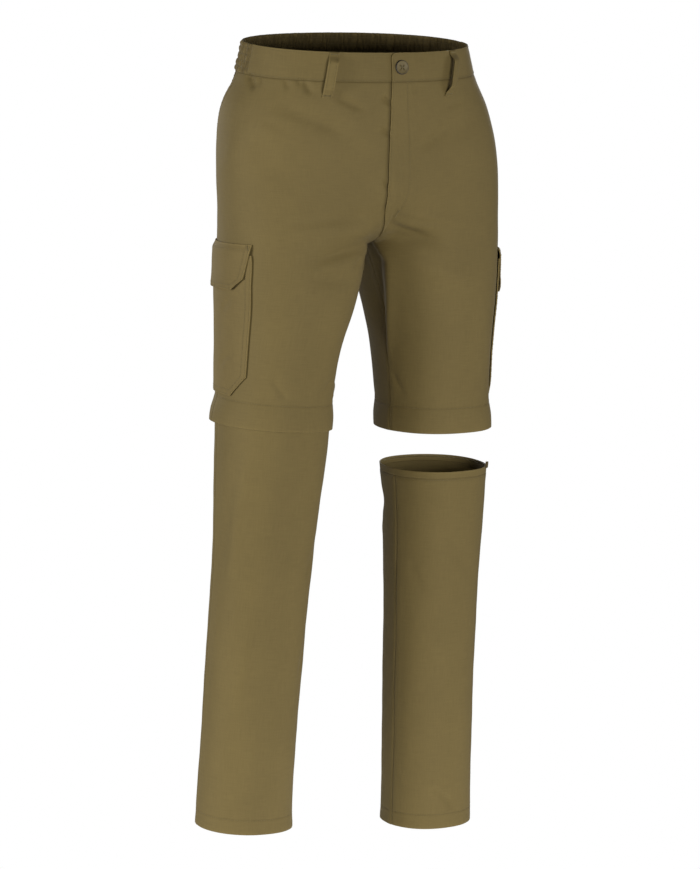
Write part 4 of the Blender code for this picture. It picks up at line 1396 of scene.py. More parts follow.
    def build(self) -> None:
        """Build and dress both panels of this side."""
        top = CUT.band_bottom - CUT.seam_gap / 2
        hem_line = self.hem + self.hem_depth
        seam, folded = EdgeKind.SEAM, EdgeKind.FOLDED
        lap = folded if self.side is Side.LEFT else seam
        front = Panel(f"front_{self.side.word}", self.side, top, self.hem, self.front_start, self.front_end,
                      self.front_stand, (folded, lap, seam, folded), hem_depth=self.hem_depth,
                      hem_layer=0.5 * MM, lines=self.front_lines(), marks=[hem_line])
        back = Panel(f"back_{self.side.word}", self.side, top, self.hem, seam_edge(self.side, 0.0, -1),
                     seam_edge(self.side, -1.0, 1), self.flare, (seam, seam, seam, folded),
                     hem_depth=self.hem_depth, hem_layer=0.5 * MM, lines=self.back_lines(), marks=[hem_line])
        parts = ((front, self.front_cut, f"waistband_front_{self.side.word}_cloth"),
                 (back, self.back_cut, "waistband_back_gathered"))
        for panel, cuts, band in parts:
            strands = Strands()
            panel.sew(strands)
            if panel is front:
                self.tack_front(strands, panel)
            add_sheet(panel.name, "cloth", panel.mesh(), self.finishes.cloth,
                      Detail("stitches", strands, self.finishes.thread, Slot.CLOTH))

    def back_lines(self) -> list[SewnLine]:
        """Rows of stitches on the back: the hem, the outseam and the seat seam."""
        edge, centre = seam_edge(self.side, 0.0, -1), seam_edge(self.side, -1.0, 1)
        return [
            SewnLine(level_path(-0.01, -0.985, self.hem + self.hem_depth), pull=0.45 * MM, pucker=0.16 * MM),
            SewnLine(edge_path(self.side, edge, -1.7 * MM, -0.04, self.hem + 2 * MM, 80)),
            SewnLine(edge_path(self.side, centre, 1.7 * MM, -0.04, -0.255, 60)),
        ]

    def tack_front(self, strands: Strands, panel: Panel) -> None:
        """A bar tack at the pocket's lower end, and on the left side one at the foot of the fly.

        Args:
            strands: where the stitches are collected.
            panel: the front panel.
        """
        low = self.pocket_bottom + 4 * MM
        turn = float(self.front_start(np.array(low))) + 0.02
        bar_tack(strands, self.side, panel.lift, turn, low, (8 * MM, 0))
        if self.side is Side.LEFT:
            bar_tack(strands, self.side, panel.lift, 0.975, self.fly_tack, (0.0, 8 * MM))


@dataclass
class LowerLeg:
    """Front and back panels of the part of one leg below the knee zip."""

    side: Side
    finishes: Finishes
    hem_depth: float = 19.5 * MM
    front_cut: tuple[FlatCut, FlatCut] = (FlatCut(0.238, 0.570, 0.1173), FlatCut(0.222, 0.499, 0.0979))
    back_cut: tuple[FlatCut, FlatCut] = (FlatCut(0.249, 0.568, 0.1201), FlatCut(0.231, 0.497, 0.1002))

    def build(self) -> None:
        """Build and dress both panels of this leg."""
        side, word = self.side, self.side.word
        top, hem = CUT.of(CUT.leg_top, side), CUT.of(CUT.leg_hem, side)
        for part, way, cuts in (("front", 1, self.front_cut), ("back", -1, self.back_cut)):
            name = f"lower_{part}_{word}"
            seam, folded = EdgeKind.SEAM, EdgeKind.FOLDED
            lines = [
                SewnLine(level_path(0.012 * way, 0.985 * way, hem + self.hem_depth), pucker=0.12 * MM),
                SewnLine(level_path(0.012 * way, 0.985 * way, top - 2 * MM), stitched=side is Side.LEFT),
            ]
            panel = Panel(name, side, top, hem, seam_edge(side, 0.0, way), seam_edge(side, float(way), -way),
                          lambda turn, level: np.zeros(np.broadcast(turn, level).shape),
                          (seam, seam, seam, folded), hem_depth=self.hem_depth, hem_layer=0.7 * MM,
                          lines=lines, marks=[hem + self.hem_depth])
            strands = Strands()
            panel.sew(strands)
            add_sheet(name, "cloth", panel.mesh(), self.finishes.cloth,
                      Detail("stitches", strands, self.finishes.thread, Slot.CLOTH))


@dataclass
class KneeZips:
    """The closed zip under the right flap, and the two parted tapes of the left leg."""

    finishes: Finishes
    above_hem: float = 27 * MM
    tape_above_hem: float = 14 * MM
    coil_pitch: float = 1.6 * MM
    coil_length: float = 2.6 * MM
    coil_radius: float = 0.62 * MM
    coil_lean: float = 0.25
    coil_off: float = 0.55 * MM
    columns: int = 240
    rows: int = 7

    def ring(self, name: str, side: Side, top: float, bottom: float, cut: FlatCut,
             coil_level: float, finish: bpy.types.Material, rests_on: str,
             faces: tuple[int, ...] = (-1, 1)) -> None:
        """One tape right round a leg, with its coil of teeth.

        Args:
            name: the solid that it stands for.
            side: the wearer's side.
            top, bottom: levels of its edges.
            cut: length and width of the tape.
            coil_level: level of the teeth.
            finish: the tape's material.
            rests_on: what it is sewn to; not used.
            faces: the faces that the teeth show on, 1 outside and -1 inside.
        """
        half = np.linspace(0, 1, self.columns // 2 + 1)
        turns = np.concatenate([half, -half[-2:0:-1]])
        turn, level = np.meshgrid(turns, np.linspace(top, bottom, self.rows))
        outer, inner = BODY.place(side, turn, level, np.zeros(turn.shape), -CUT.tape)
        run = turn * cut.width / 2
        wear_and_shade = 0.8 * np.exp(-(top - level) / (1.5 * MM))
        mesh = shell_mesh(name, outer, inner, np.stack([run, level], -1), wear_and_shade, closed=True)
        fine = np.linspace(-1, 1, 1200)
        teeth_level = np.full(fine.shape, coil_level)
        (points,) = BODY.place(side, fine, teeth_level, -CUT.tape / 2)
        turns, levels = resampled(np.stack([fine, teeth_level], -1), points, self.coil_pitch)
        (centre,) = BODY.place(side, turns, levels, np.full(turns.shape, -CUT.tape / 2))
        normal = BODY.outward(side, turns, levels)
        along = directions(centre)
        up = np.cross(along, normal)
        strands = Strands()
        for face in faces:
            lean = up + self.coil_lean * face * along
            lean /= np.linalg.norm(lean, axis=1, keepdims=True)
            strands.add(centre + normal * face * self.coil_off, lean, normal * face, self.coil_length,
                        self.coil_radius)
        add_sheet(name, "tape", mesh, finish,
                  Detail("coil", strands, self.finishes.coil, Slot.ZIP))

    def build(self) -> None:
        """Build the three tapes."""
        right, left = CUT.shorts_hem
        low = left + self.tape_above_hem
        self.ring("knee_zip_right", Side.RIGHT, right + self.above_hem, CUT.leg_top[0] + CUT.seam_gap,
                  FlatCut(0.488, 0.0127), CUT.leg_top[0] + 6 * MM, self.finishes.tape, "front_right_cloth")
        self.ring("knee_zip_left_upper", Side.LEFT, left + self.above_hem, low, FlatCut(0.488, 0.013),
                  low + 0.6 * MM, self.finishes.tape, "front_left_cloth")
        self.ring("knee_zip_left_lower", Side.LEFT, CUT.rim_top, CUT.leg_top[1] + CUT.seam_gap,
                  FlatCut(0.458, 0.010), CUT.rim_top - 2.6 * MM, self.finishes.cloth,
                  "lower_front_left_cloth", (-1,))


@dataclass
class Waistband:
    """Two smooth front halves and the gathered back of the waistband."""

    finishes: Finishes
    elastic_turn: float = 0.23
    gathers: int = 52
    gather_columns: int = 12
    gather_rows: int = 19
    gather_height: float = 1.3 * MM
    outer_gather: float = 1.9
    inner_gather: float = 2.6
    inner_phase: float = 1.9
    corner: float = 7 * MM
    front_cut: tuple[FlatCut, FlatCut] = (FlatCut(0.215, 0.038), FlatCut(0.223, 0.038))
    back_cut: FlatCut = FlatCut(0.560, 0.038)
    elastic_rows: tuple[float, ...] = (-6 * MM, -14.5 * MM, -23 * MM, -31.5 * MM)

    def stand(self, side: Side) -> Callable[[Array, Array], Array]:
        """Stand-off of a front half; the left one laps over the right."""
        step = (CUT.band_wall + CUT.layer_gap) if side is Side.LEFT else 0.0
        return lambda turn, level: CUT.band_proud + step * smooth(*CUT.lap_fade, turn) + 0 * level

    def front_end(self, side: Side) -> Callable[[Array], Array]:
        """Turn of a front half's inner edge."""
        if side is Side.RIGHT:
            return seam_edge(side, 1.0, -1)

        def rounded(level: Array) -> Array:
            """Turn of the free end, cut back round its top corner."""
            near_top = np.clip(1 + level / self.corner, 0, 1)
            inset = self.corner * (1 - np.sqrt(1 - near_top**2))
            return 1 + BODY.turn_for(Side.LEFT, 1.0, level, CUT.lap_width - inset)

        return rounded

    def build_front(self, side: Side) -> None:
        """Build one front half.

        Args:
            side: the wearer's side.
        """
        name = f"waistband_front_{side.word}"
        bottom = CUT.band_bottom + CUT.seam_gap / 2
        start, end = seam_edge(side, self.elastic_turn, 1), self.front_end(side)
        first, last = self.elastic_turn + 0.01, 0.985 if side is Side.RIGHT else 1.02
        lines = [SewnLine(level_path(first, last, bottom + 1.8 * MM), pull=0.22 * MM),
                 SewnLine(level_path(first, last, -2.0 * MM), pull=0.12 * MM, pucker=0.05 * MM)]
        if side is Side.LEFT:
            lines.append(SewnLine(edge_path(side, end, -1.8 * MM, -2.5 * MM, bottom + 2.5 * MM, 12)))
        kinds = (EdgeKind.SEAM, EdgeKind.FOLDED if side is Side.LEFT else EdgeKind.SEAM,
                 EdgeKind.FOLDED, EdgeKind.SEAM)
        panel = Panel(name, side, 0.0, bottom, start, end, self.stand(side), kinds, wall=CUT.band_wall,
                      step=2.4 * MM, fold_depth=30 * MM, lines=lines)
        strands = Strands()
        panel.sew(strands)
        add_sheet(name, "cloth", panel.mesh(), self.finishes.cloth,
                  Detail("stitches", strands, self.finishes.thread, Slot.CLOTH))

    def even_path(self, count: int) -> Array:
        """Turns spaced evenly round the elastic, from the right side by the back to the left."""
        middle = np.array(CUT.band_bottom / 2)
        start = self.elastic_turn - float(BODY.turn_for(R, self.elastic_turn, middle, CUT.seam_gap / 2))
        fine = np.linspace(start, -2 - start, 2001)
        points = BODY.skin(R, fine, np.full_like(fine, CUT.band_bottom / 2))
        run = np.concatenate([[0], np.cumsum(np.linalg.norm(np.diff(points, axis=0), axis=1))])
        return np.interp(np.linspace(0, run[-1], count), run, fine)

    def ripple(self, wave: Array, level: Array, phase: float) -> Array:
        """Uneven gathers, pinched at each row of elastic stitching.

        Args:
            wave: gathers counted along the band.
            level: levels on the band.
            phase: shift between the two faces.

        Returns:
            Heights from 0 to about 1.
        """
        shift = 0.28 * np.sin(2.1 * wave + 90 * level) + 0.20 * np.sin(5.3 * wave - 160 * level + phase)
        main = 0.5 + 0.5 * np.sin(2 * math.pi * (wave + shift) + phase)
        small = 0.5 + 0.5 * np.sin(4 * math.pi * (wave - shift) + 1.3 + phase)
        uneven = 0.75 + 0.25 * np.sin(2.3 * wave + phase)
        pinch = 1 - 0.55 * sum(bump(level - row, 1.2 * MM) for row in self.elastic_rows)
        return uneven * (0.72 * main + 0.28 * small) * pinch

    def gather_lift(self, wave: Array, level: Array, swell: Array, face: int) -> Array:
        """Lift of the gathers on the outer face, 1, or the inner one, -1."""
        size, phase = (self.outer_gather, 0.0) if face > 0 else (-self.inner_gather, self.inner_phase)
        return size * swell * self.ripple(wave, level, phase)

    def build_back(self) -> None:
        """Build the gathered back on both its faces."""
        columns = self.gathers * self.gather_columns + 1
        wave = np.arange(columns) / self.gather_columns
        bottom = CUT.band_bottom + CUT.seam_gap / 2
        turn, level = np.meshgrid(self.even_path(columns), np.linspace(0, bottom, self.gather_rows))
        wave = np.broadcast_to(wave, turn.shape)
        ends = smooth(0, 1.0, wave) * smooth(self.gathers, self.gathers - 1.0, wave)
        rims = smooth(0.0, -1.5 * MM, level) * smooth(bottom, bottom + 1.5 * MM, level)
        swell = self.gather_height * ends * (0.35 + 0.65 * rims)
        outer_lift = CUT.band_proud - 0.5 * MM + self.gather_lift(wave, level, swell, 1)
        inner_lift = CUT.band_proud - CUT.band_wall + 0.3 * MM + self.gather_lift(wave, level, swell, -1)
        outer, inner = BODY.place(R, turn, level, outer_lift, inner_lift)
        flat = np.stack([wave * self.back_cut.width / self.gathers, level], -1)
        # Lighter at the top fold, where it is rubbed; painted shade in the valleys of the inner gathers and
        # painted light on their ridges.
        wear_and_shade = 0.5 * bump(level, 2 * MM) + 2.8 * self.ripple(wave, level, self.inner_phase) - 1.2
        strands = Strands()
        for row in self.elastic_rows:
            for face in (-1, 1):
                self.elastic_stitches(strands, row, face)
        add_sheet("waistband_back", "gathered", shell_mesh("waistband_back", outer, inner, flat, wear_and_shade),
                  self.finishes.elastic,
                  Detail("stitches", strands, self.finishes.thread, Slot.ELASTIC))

    def elastic_stitches(self, strands: Strands, row: float, face: int) -> None:
        """One row of stitches through the elastic, on one face.

        Args:
            strands: where the stitches are collected.
            row: level of the row.
            face: 1 for the outer face and -1 for the inner one.
        """
        count = self.gathers * 4
        turn = self.even_path(count + 1)
        turn = (turn[:-1] + turn[1:]) / 2
        level = np.full(count, row)
        wave = (np.arange(count) + 0.5) / 4
        swell = self.gather_height * smooth(0, 1.0, wave) * smooth(self.gathers, self.gathers - 1.0, wave)
        base = CUT.band_proud - 0.35 * MM if face > 0 else CUT.band_proud - CUT.band_wall + 0.15 * MM
        (centre,) = BODY.place(R, turn, level, base + self.gather_lift(wave, level, swell, face))
        strands.add(centre, directions(centre), face * BODY.outward(R, turn, level), 2.0 * MM, 0.22 * MM)

    def build(self) -> None:
        """Build the whole waistband."""
        for side in Side:
            self.build_front(side)
        self.build_back()


class Loop(NamedTuple):
    """Place of one belt loop."""

    name: str
    side: Side
    top_turn: float
    bottom_turn: float
    clearance: float
    stand: float
    twist: float


@dataclass
class BeltLoops:
    """Five belt loops, sewn flat at both ends and bowed off the band between them."""

    finishes: Finishes
    width: float = 12 * MM
    bottom: float = -60 * MM
    top: float = -1 * MM
    wall: float = 1.5 * MM
    crown: float = 0.25 * MM
    cut: FlatCut = FlatCut(0.012, 0.075)
    rise: tuple[float, float] = (0.04, 0.24)
    fall: tuple[float, float] = (0.97, 0.76)
    loops: tuple[Loop, ...] = (
        Loop("belt_loop_front_right", R, 0.655, 0.625, 0.0, 7.6 * MM, 1.8 * MM),
        Loop("belt_loop_front_left", L, 0.600, 0.670, 0.0, 9.0 * MM, 1.2 * MM),
        Loop("belt_loop_back_right", R, -0.340, -0.340, 1.3 * MM, 8.4 * MM, 0.8 * MM),
        Loop("belt_loop_back_left", L, -0.340, -0.340, 1.3 * MM, 8.4 * MM, -0.8 * MM),
        Loop("belt_loop_centre_back", R, -1.0, -1.0, 1.3 * MM, 8.4 * MM, 0.5 * MM),
    )

    def inner_lift(self, loop: Loop, share: Array, side_share: Array) -> Array:
        """Inner face of a loop over the body surface.

        Args:
            loop: the loop.
            share: how far down the loop, 0 to 1.
            side_share: across the loop, -1 to 1.

        Returns:
            Lifts in metres.
        """
        stand = smooth(*self.rise, share) * smooth(*self.fall, share)
        foot = (CUT.band_proud + loop.clearance) * smooth(0.9, 0.6, share) + CUT.layer_gap
        return foot + (loop.stand - foot) * stand + loop.twist * side_share * stand**2

    def grid(self, loop: Loop, share: Array, across: Array) -> tuple[Array, Array, Array]:
        """Turns, levels and inner lifts of places on a loop.

        Args:
            loop: the loop.
            share: how far down the loop, 0 to 1.
            across: across the loop, -1 to 1.

        Returns:
            Turns, levels and inner lifts.
        """
        level = self.bottom * share + self.top * (1 - share)
        middle = loop.top_turn + (loop.bottom_turn - loop.top_turn) * share
        turn = middle + BODY.turn_for(loop.side, middle, level, self.width / 2) * across
        return turn, level, self.inner_lift(loop, share, across)

    def build(self) -> None:
        """Build every loop with its two rows of stitches and two bar tacks."""
        places = np.array([-1, -0.9, -0.7, -0.4, 0, 0.4, 0.7, 0.9, 1.0])
        share, across = np.meshgrid(np.linspace(0, 1, 57), places, indexing="ij")
        for loop in self.loops:
            turn, level, lift = self.grid(loop, share, across)
            crown = self.crown * (1 - across**2)
            outer, inner = BODY.place(loop.side, turn, level, lift + self.wall + crown, lift)
            flat = np.stack([across * self.width / 2, level], -1)
            # Lighter at the loop's edges, where it is rubbed, and lighter again over the loop from about its
            # middle down.
            wear_and_shade = 0.7 * np.exp(-(1 - np.abs(across)) * self.width / 2 / MM) + 0.25 * smooth(0.2, 0.5, share)
            strands = Strands()
            for edge in (-0.66, 0.66):
                self.stitch(strands, loop, np.linspace(0.02, 0.98, 20), edge)
            for end in (0.035, 0.955):
                self.stitch(strands, loop, np.array([end]), None)
            add_sheet(loop.name, "cloth", shell_mesh(loop.name, outer, inner, flat, np.clip(wear_and_shade, 0, 1)),
                      self.finishes.cloth,
                      Detail("stitches", strands, self.finishes.thread, Slot.CLOTH))

    def stitch(self, strands: Strands, loop: Loop, share: Array, edge: float | None) -> None:
        """Lay stitches down a loop, or a bar tack across it.

        Args:
            strands: where the stitches are collected.
            loop: the loop.
            share: how far down the loop each stitch is.
            edge: place across the loop, or None for a bar tack.
        """
        across = np.full(share.shape, edge) if edge is not None else np.linspace(-0.8, 0.8, 18)
        share = np.broadcast_to(share, across.shape)
        turn, level, lift = self.grid(loop, share, across)
        (centre,) = BODY.place(loop.side, turn, level, lift + self.wall + 0.3 * MM)
        along = directions(centre)
        normal = BODY.outward(loop.side, turn, level)
        if edge is None:
            strands.add(centre, np.cross(normal, along), normal, 1.8 * MM, 0.34 * MM)
        else:
            strands.add(centre, along, normal, 2.2 * MM, 0.22 * MM)


@dataclass
class HipFacing:
    """The facing that shows in one slanting hip pocket's opening."""

    side: Side
    finishes: Finishes
    underlap: float = 0.075
    back_underlap: float = 4 * MM
    rise: float = 5 * MM
    cut: FlatCut = FlatCut(0.066, 0.126, 0.0071)

    def build(self) -> None:
        """Build and dress the facing."""
        shorts = Shorts(self.side, self.finishes)
        name = f"hip_facing_{self.side.word}"
        depth = -CUT.cloth - CUT.lining_gap
        raw = EdgeKind.RAW
        panel = Panel(name, self.side, CUT.band_bottom - CUT.seam_gap / 2,
                      shorts.pocket_bottom + self.rise,
                      lambda level: -BODY.turn_for(self.side, 0.0, level, self.back_underlap),
                      lambda level: shorts.opening(level) + self.underlap,
                      lambda turn, level: np.full(np.broadcast(turn, level).shape, depth), (raw,) * 4)
        add_sheet(name, "cloth", panel.mesh(), self.finishes.cloth)


@dataclass
class CargoPocket:
    """The bag over one outseam, and the flap that covers its mouth."""

    side: Side
    finishes: Finishes
    tops: tuple[float, float] = (-258 * MM, -275 * MM)
    drop: float = 14 * MM
    height: float = 188 * MM
    corner: float = 27 * MM
    corner_turn: float = 0.105
    front_turns: tuple[float, float] = (0.292, 0.284)
    back_turns: tuple[float, float] = (-0.27, -0.34)
    puff: float = 3.4 * MM
    flap_height: float = 60 * MM
    flap_corner: float = 15 * MM
    flap_corner_turn: float = 0.045
    flap_taper: float = 0.075
    flap_overhang: float = 0.010
    flap_kick: float = 3.0 * MM
    flap_seam: float = 10 * MM
    edge_trim: float = 0.016
    bag_cut: FlatCut = FlatCut(0.160, 0.198, 0.0300)
    flap_cut: FlatCut = FlatCut(0.162, 0.079, 0.0105)

    @property
    def top(self) -> float:
        """Level of the flap's upper edge."""
        return CUT.of(self.tops, self.side)

    def down(self, level: Array) -> Array:
        """How far down the bag a level is, 0 to 1."""
        return np.clip((self.top - self.drop - level) / self.height, 0, 1)

    def bag_edge(self, level: Array, front: bool) -> Array:
        """Turn of the bag's front or back edge, with its cut-off lower corner."""
        down = self.down(level)
        cut = self.corner_turn * (1 - np.clip((1 - down) * self.height / self.corner, 0, 1))
        turns = self.front_turns if front else self.back_turns
        inside = cut + self.edge_trim * smooth(0.0, 0.25, down)
        return turns[0] + (turns[1] - turns[0]) * down + (-inside if front else inside)

    def bag_stand(self, turn: Array, level: Array) -> Array:
        """Outer height of the bag over the panel: flat at its edges, full in the middle."""
        front, back = self.bag_edge(level, True), self.bag_edge(level, False)
        across = np.clip((turn - back) / (front - back), 0, 1)
        full = np.sin(math.pi * across) ** 0.7 * np.sin(math.pi * (0.12 + 0.88 * self.down(level))) ** 0.7
        flare = Shorts(self.side, self.finishes).flare(turn, level)
        return flare + CUT.bag_gap + CUT.cloth + self.puff * full

    def flap_edge(self, level: Array, front: bool) -> Array:
        """Turn of the flap's front or back edge, tapered and cut off at the corner."""
        bottom = self.top - self.flap_height
        down = (self.top - level) / self.flap_height
        cut = self.flap_corner_turn * (1 - np.clip((level - bottom) / self.flap_corner, 0, 1))
        inset = self.flap_taper * down + cut - self.flap_overhang
        return self.front_turns[0] - inset if front else self.back_turns[0] + inset

    def flap_stand(self, turn: Array, level: Array) -> Array:
        """Outer height of the flap: sewn to the leg at its top, over the bag below."""
        down = (self.top - level) / self.flap_height
        over_bag = self.bag_stand(turn, np.minimum(level, self.top - self.drop)) + CUT.layer_gap
        seam = smooth(self.top, self.top - self.flap_seam, level)
        kick = self.flap_kick * smooth(0.55, 1.0, down) * smooth(-0.35, 0.30, turn)
        return CUT.layer_gap + (over_bag - CUT.layer_gap) * seam + kick + CUT.cloth

    def outline(self, edge: Callable[[Array, bool], Array], high: float, low: float, corner: float,
                inset: float) -> Array:
        """A row of stitches down one edge, round the cut corners and up the other.

        Args:
            edge: turn of the front or back edge at a level.
            high, low: levels of the upper and lower edge.
            corner: height of the cut-off corners.
            inset: distance of the row inside the edges.

        Returns:
            Turns and levels.
        """
        levels = np.concatenate([np.linspace(high, low + corner, 14),
                                 np.linspace(low + corner, low + inset, 5)[1:]])
        step = BODY.turn_for(self.side, 0.0, levels, inset)
        front = np.stack([edge(levels, True) - step, levels], -1)
        back = np.stack([edge(levels, False) + step, levels], -1)
        across = np.linspace(front[-1], back[-1], 10)[1:-1]
        return np.concatenate([front, across, back[::-1]])

    def build(self) -> None:
        """Build the bag and the flap."""
        word, top = self.side.word, self.top
        bag_top, bag_low = top - self.drop, top - self.drop - self.height
        low = top - self.flap_height
        parts = (
            (f"cargo_pocket_{word}", bag_top, bag_low, self.bag_edge, self.bag_stand, self.corner,
             self.bag_cut, (1.8 * MM, 7.5 * MM)),
            (f"cargo_flap_{word}", top, low, self.flap_edge, self.flap_stand, self.flap_corner,
             self.flap_cut, (1.8 * MM, 6.5 * MM)),
        )
        for name, high, bottom, edge, stand, corner, cut, insets in parts:
            lines = [SewnLine(self.outline(edge, high - 1.5 * MM, bottom, corner, inset), pull=0.25 * MM)
                     for inset in insets]
            if "flap" in name:
                lines.append(SewnLine(level_path(float(edge(np.array(high), False)) + 0.01,
                                                 float(edge(np.array(high), True)) - 0.01,
                                                 high - 6.5 * MM), pull=0.4 * MM))
            panel = Panel(name, self.side, high, bottom, lambda level, e=edge: e(level, False),
                          lambda level, e=edge: e(level, True), stand, (EdgeKind.FOLDED,) * 4,
                          step=2.4 * MM, fold_depth=8 * MM, lines=lines, marks=[bottom + corner])
            strands = Strands()
            panel.sew(strands)
            if "flap" in name:
                for front, way in ((True, -1), (False, 1)):
                    turn = float(edge(np.array(high - 4 * MM), front)) + way * 0.012
                    bar_tack(strands, self.side, panel.lift, turn, high - 4 * MM, (0.0, 6 * MM))
            add_sheet(name, "cloth", panel.mesh(), self.finishes.pocket,
                      Detail("stitches", strands, self.finishes.thread, Slot.POCKET))


@dataclass
class FlyZip:
    """The zip behind the fly's lap: a plain tape with its coil down the middle."""

    finishes: Finishes
    half_width: float = 12 * MM
    bottom: float = -172 * MM
    coil_pitch: float = 1.6 * MM
    coil_off: float = 0.3 * MM
    cut: FlatCut = FlatCut(0.024, 0.134)

    def build(self) -> None:
        """Build the tape and its coil."""
        depth = -CUT.cloth - CUT.lining_gap
        raw = EdgeKind.RAW
        panel = Panel("fly_zip", R, CUT.band_bottom - CUT.seam_gap / 2, self.bottom,
                      lambda level: 1 - BODY.turn_for(R, 1.0, level, self.half_width),
                      lambda level: 1 + BODY.turn_for(R, 1.0, level, self.half_width),
                      lambda turn, level: np.full(np.broadcast(turn, level).shape, depth), (raw,) * 4,
                      wall=CUT.tape)
        level = np.arange(panel.top - 3 * MM, self.bottom + 4 * MM, -self.coil_pitch)
        turn = np.full(level.shape, 1.0)
        (centre,) = BODY.place(R, turn, level, np.full(level.shape, depth - CUT.tape - self.coil_off))
        normal = BODY.outward(R, turn, level)
        strands = Strands()
        strands.add(centre, np.cross(normal, directions(centre)), -normal, 5 * MM, 0.6 * MM)
        add_sheet("fly_zip", "tape", panel.mesh(), self.finishes.tape,
                  Detail("coil", strands, self.finishes.coil, Slot.ZIP))


@dataclass
class WaistButton:
    """A four-hole button with a raised rim, sewn through the lapped end of the band."""

    finishes: Finishes
    radius: float = 9.5 * MM
    height: float = 2.6 * MM
    rim: float = 2.0 * MM
    dish: float = 0.8 * MM
    hole_radius: float = 0.8 * MM
    hole_offset: float = 2.2 * MM
    steps: int = 64
    hole_steps: int = 20
    # width of the outer flank that takes the painted shadow
    flank: float = 1.1 * MM
    thread_radius: float = 0.13 * MM
    thread_apart: float = 0.12 * MM

    def frame(self) -> Matrix:
        """Where the button sits, read from its solid's box and the band below it."""
        low, high = (Vector(corner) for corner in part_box("button"))
        level, turn = np.array(-19 * MM), np.array(0.985)
        normal = Vector(BODY.outward(L, turn, level))
        across = Vector((0, 0, 1)).cross(normal).normalized()
        up = normal.cross(across)
        origin = (low + high) / 2 - normal * (self.height / 2)
        return Matrix([[across[i], up[i], normal[i], origin[i]] for i in range(3)] + [[0, 0, 0, 1]])

    def build(self) -> None:
        """Build the turned disc, its four holes and the crossed thread."""
        radius, height, face = self.radius, self.height, self.height - self.dish
        corner = self.radius - self.rim
        profile = [(0.0, 0.0), (radius - 1.6 * MM, 0.0), (radius - 0.5 * MM, 0.35 * MM), (radius, 1.1 * MM),
                   (radius - 0.15 * MM, 1.9 * MM), (radius - 0.7 * MM, height - 0.08 * MM),
                   (radius - 1.2 * MM, height), (corner + 0.25 * MM, height - 0.1 * MM),
                   (corner - 0.2 * MM, face + 0.25 * MM), (corner - 0.8 * MM, face), (0.0, face - 0.1 * MM)]
        work = bmesh.new()
        verts = [work.verts.new((r, 0, z)) for r, z in profile]
        edges = [work.edges.new(pair) for pair in zip(verts, verts[1:])]
        bmesh.ops.spin(work, geom=verts + edges, cent=(0, 0, 0), axis=(0, 0, 1), angle=2 * math.pi,
                       steps=self.steps)
        bmesh.ops.remove_doubles(work, verts=work.verts, dist=0.005 * MM)
        bmesh.ops.recalc_face_normals(work, faces=work.faces)
        mesh = bpy.data.meshes.new("button_disc")
        work.to_mesh(mesh)
        work.free()
        mesh.shade_smooth()
        matrix = self.frame()
        disc = link_piece("button_disc", mesh, self.finishes.button, ["button"])
        self.drill(disc)
        mesh = disc.data
        # The outer flank takes the near-black plastic: a painted shadow round the button.
        mesh.materials.append(self.finishes.button_edge)
        for face in mesh.polygons:
            face.material_index = int(face.center.xy.length > self.radius - self.flank)
        mesh.transform(matrix)
        self.thread(matrix)

    def hole_spots(self) -> list[Vector]:
        """Centres of the four holes."""
        turns = [math.radians(45 + 90 * quarter) for quarter in range(4)]
        return [Vector((self.hole_offset * math.cos(t), self.hole_offset * math.sin(t), 0)) for t in turns]

    def drill(self, disc: bpy.types.Object) -> None:
        """Cut the four holes through the disc.

        Args:
            disc: the plain disc.
        """
        work = bmesh.new()
        for spot in self.hole_spots():
            bmesh.ops.create_cone(work, segments=self.hole_steps, cap_ends=True, radius1=self.hole_radius,
                                  radius2=self.hole_radius, depth=4 * self.height,
                                  matrix=Matrix.Translation(spot))
        mesh = bpy.data.meshes.new("button_drill")
        work.to_mesh(mesh)
        work.free()
        drill = bpy.data.objects.new("button_drill", mesh)
        bpy.context.scene.collection.objects.link(drill)
        cut = disc.modifiers.new("holes", "BOOLEAN")
        cut.object, cut.operation, cut.solver = drill, "DIFFERENCE", "EXACT"
        graph = bpy.context.evaluated_depsgraph_get()
        finished = bpy.data.meshes.new_from_object(disc.evaluated_get(graph))
        disc.modifiers.clear()
        disc.data = finished
        bpy.data.objects.remove(drill)

    def thread(self, matrix: Matrix) -> None:
        """Sew the button on with a cross of thread between its holes.

        Args:
            matrix: where the button sits.
        """
        spots = self.hole_spots()
        strands = Strands()
        turn = np.array(matrix.to_3x3())
        for first, second in ((0, 2), (1, 3)):
            for shift in (-self.thread_apart, self.thread_apart):
                along = (spots[second] - spots[first]).normalized()
                side = Vector((-along.y, along.x, 0)) * shift
                middle = matrix @ (side + Vector((0, 0, self.height - self.dish + 0.05 * MM)))
                strands.add(np.array([middle]), (turn @ np.array(along))[None],
                            (turn @ np.array([0, 0, 1.0]))[None], 2 * self.hole_offset, self.thread_radius)
        link_piece("button_thread", strands.mesh("button_thread"), self.finishes.button)


@dataclass
class EndBox:
    """The moulded box that ends the zip on the detached leg's rim."""

    finishes: Finishes

    def build(self) -> None:
        """Dress the solid's own form."""
        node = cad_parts["zip_end_box"]
        node.data.materials.clear()
        node.data.materials.append(self.finishes.end_box)
        LOG.info("zip_end_box: moulded plastic")


class SoftLight(NamedTuple):
    """A soft box: where it stands round the object, how high, and its power in watts."""

    name: str
    azimuth_deg: float
    elevation_deg: float
    power: float


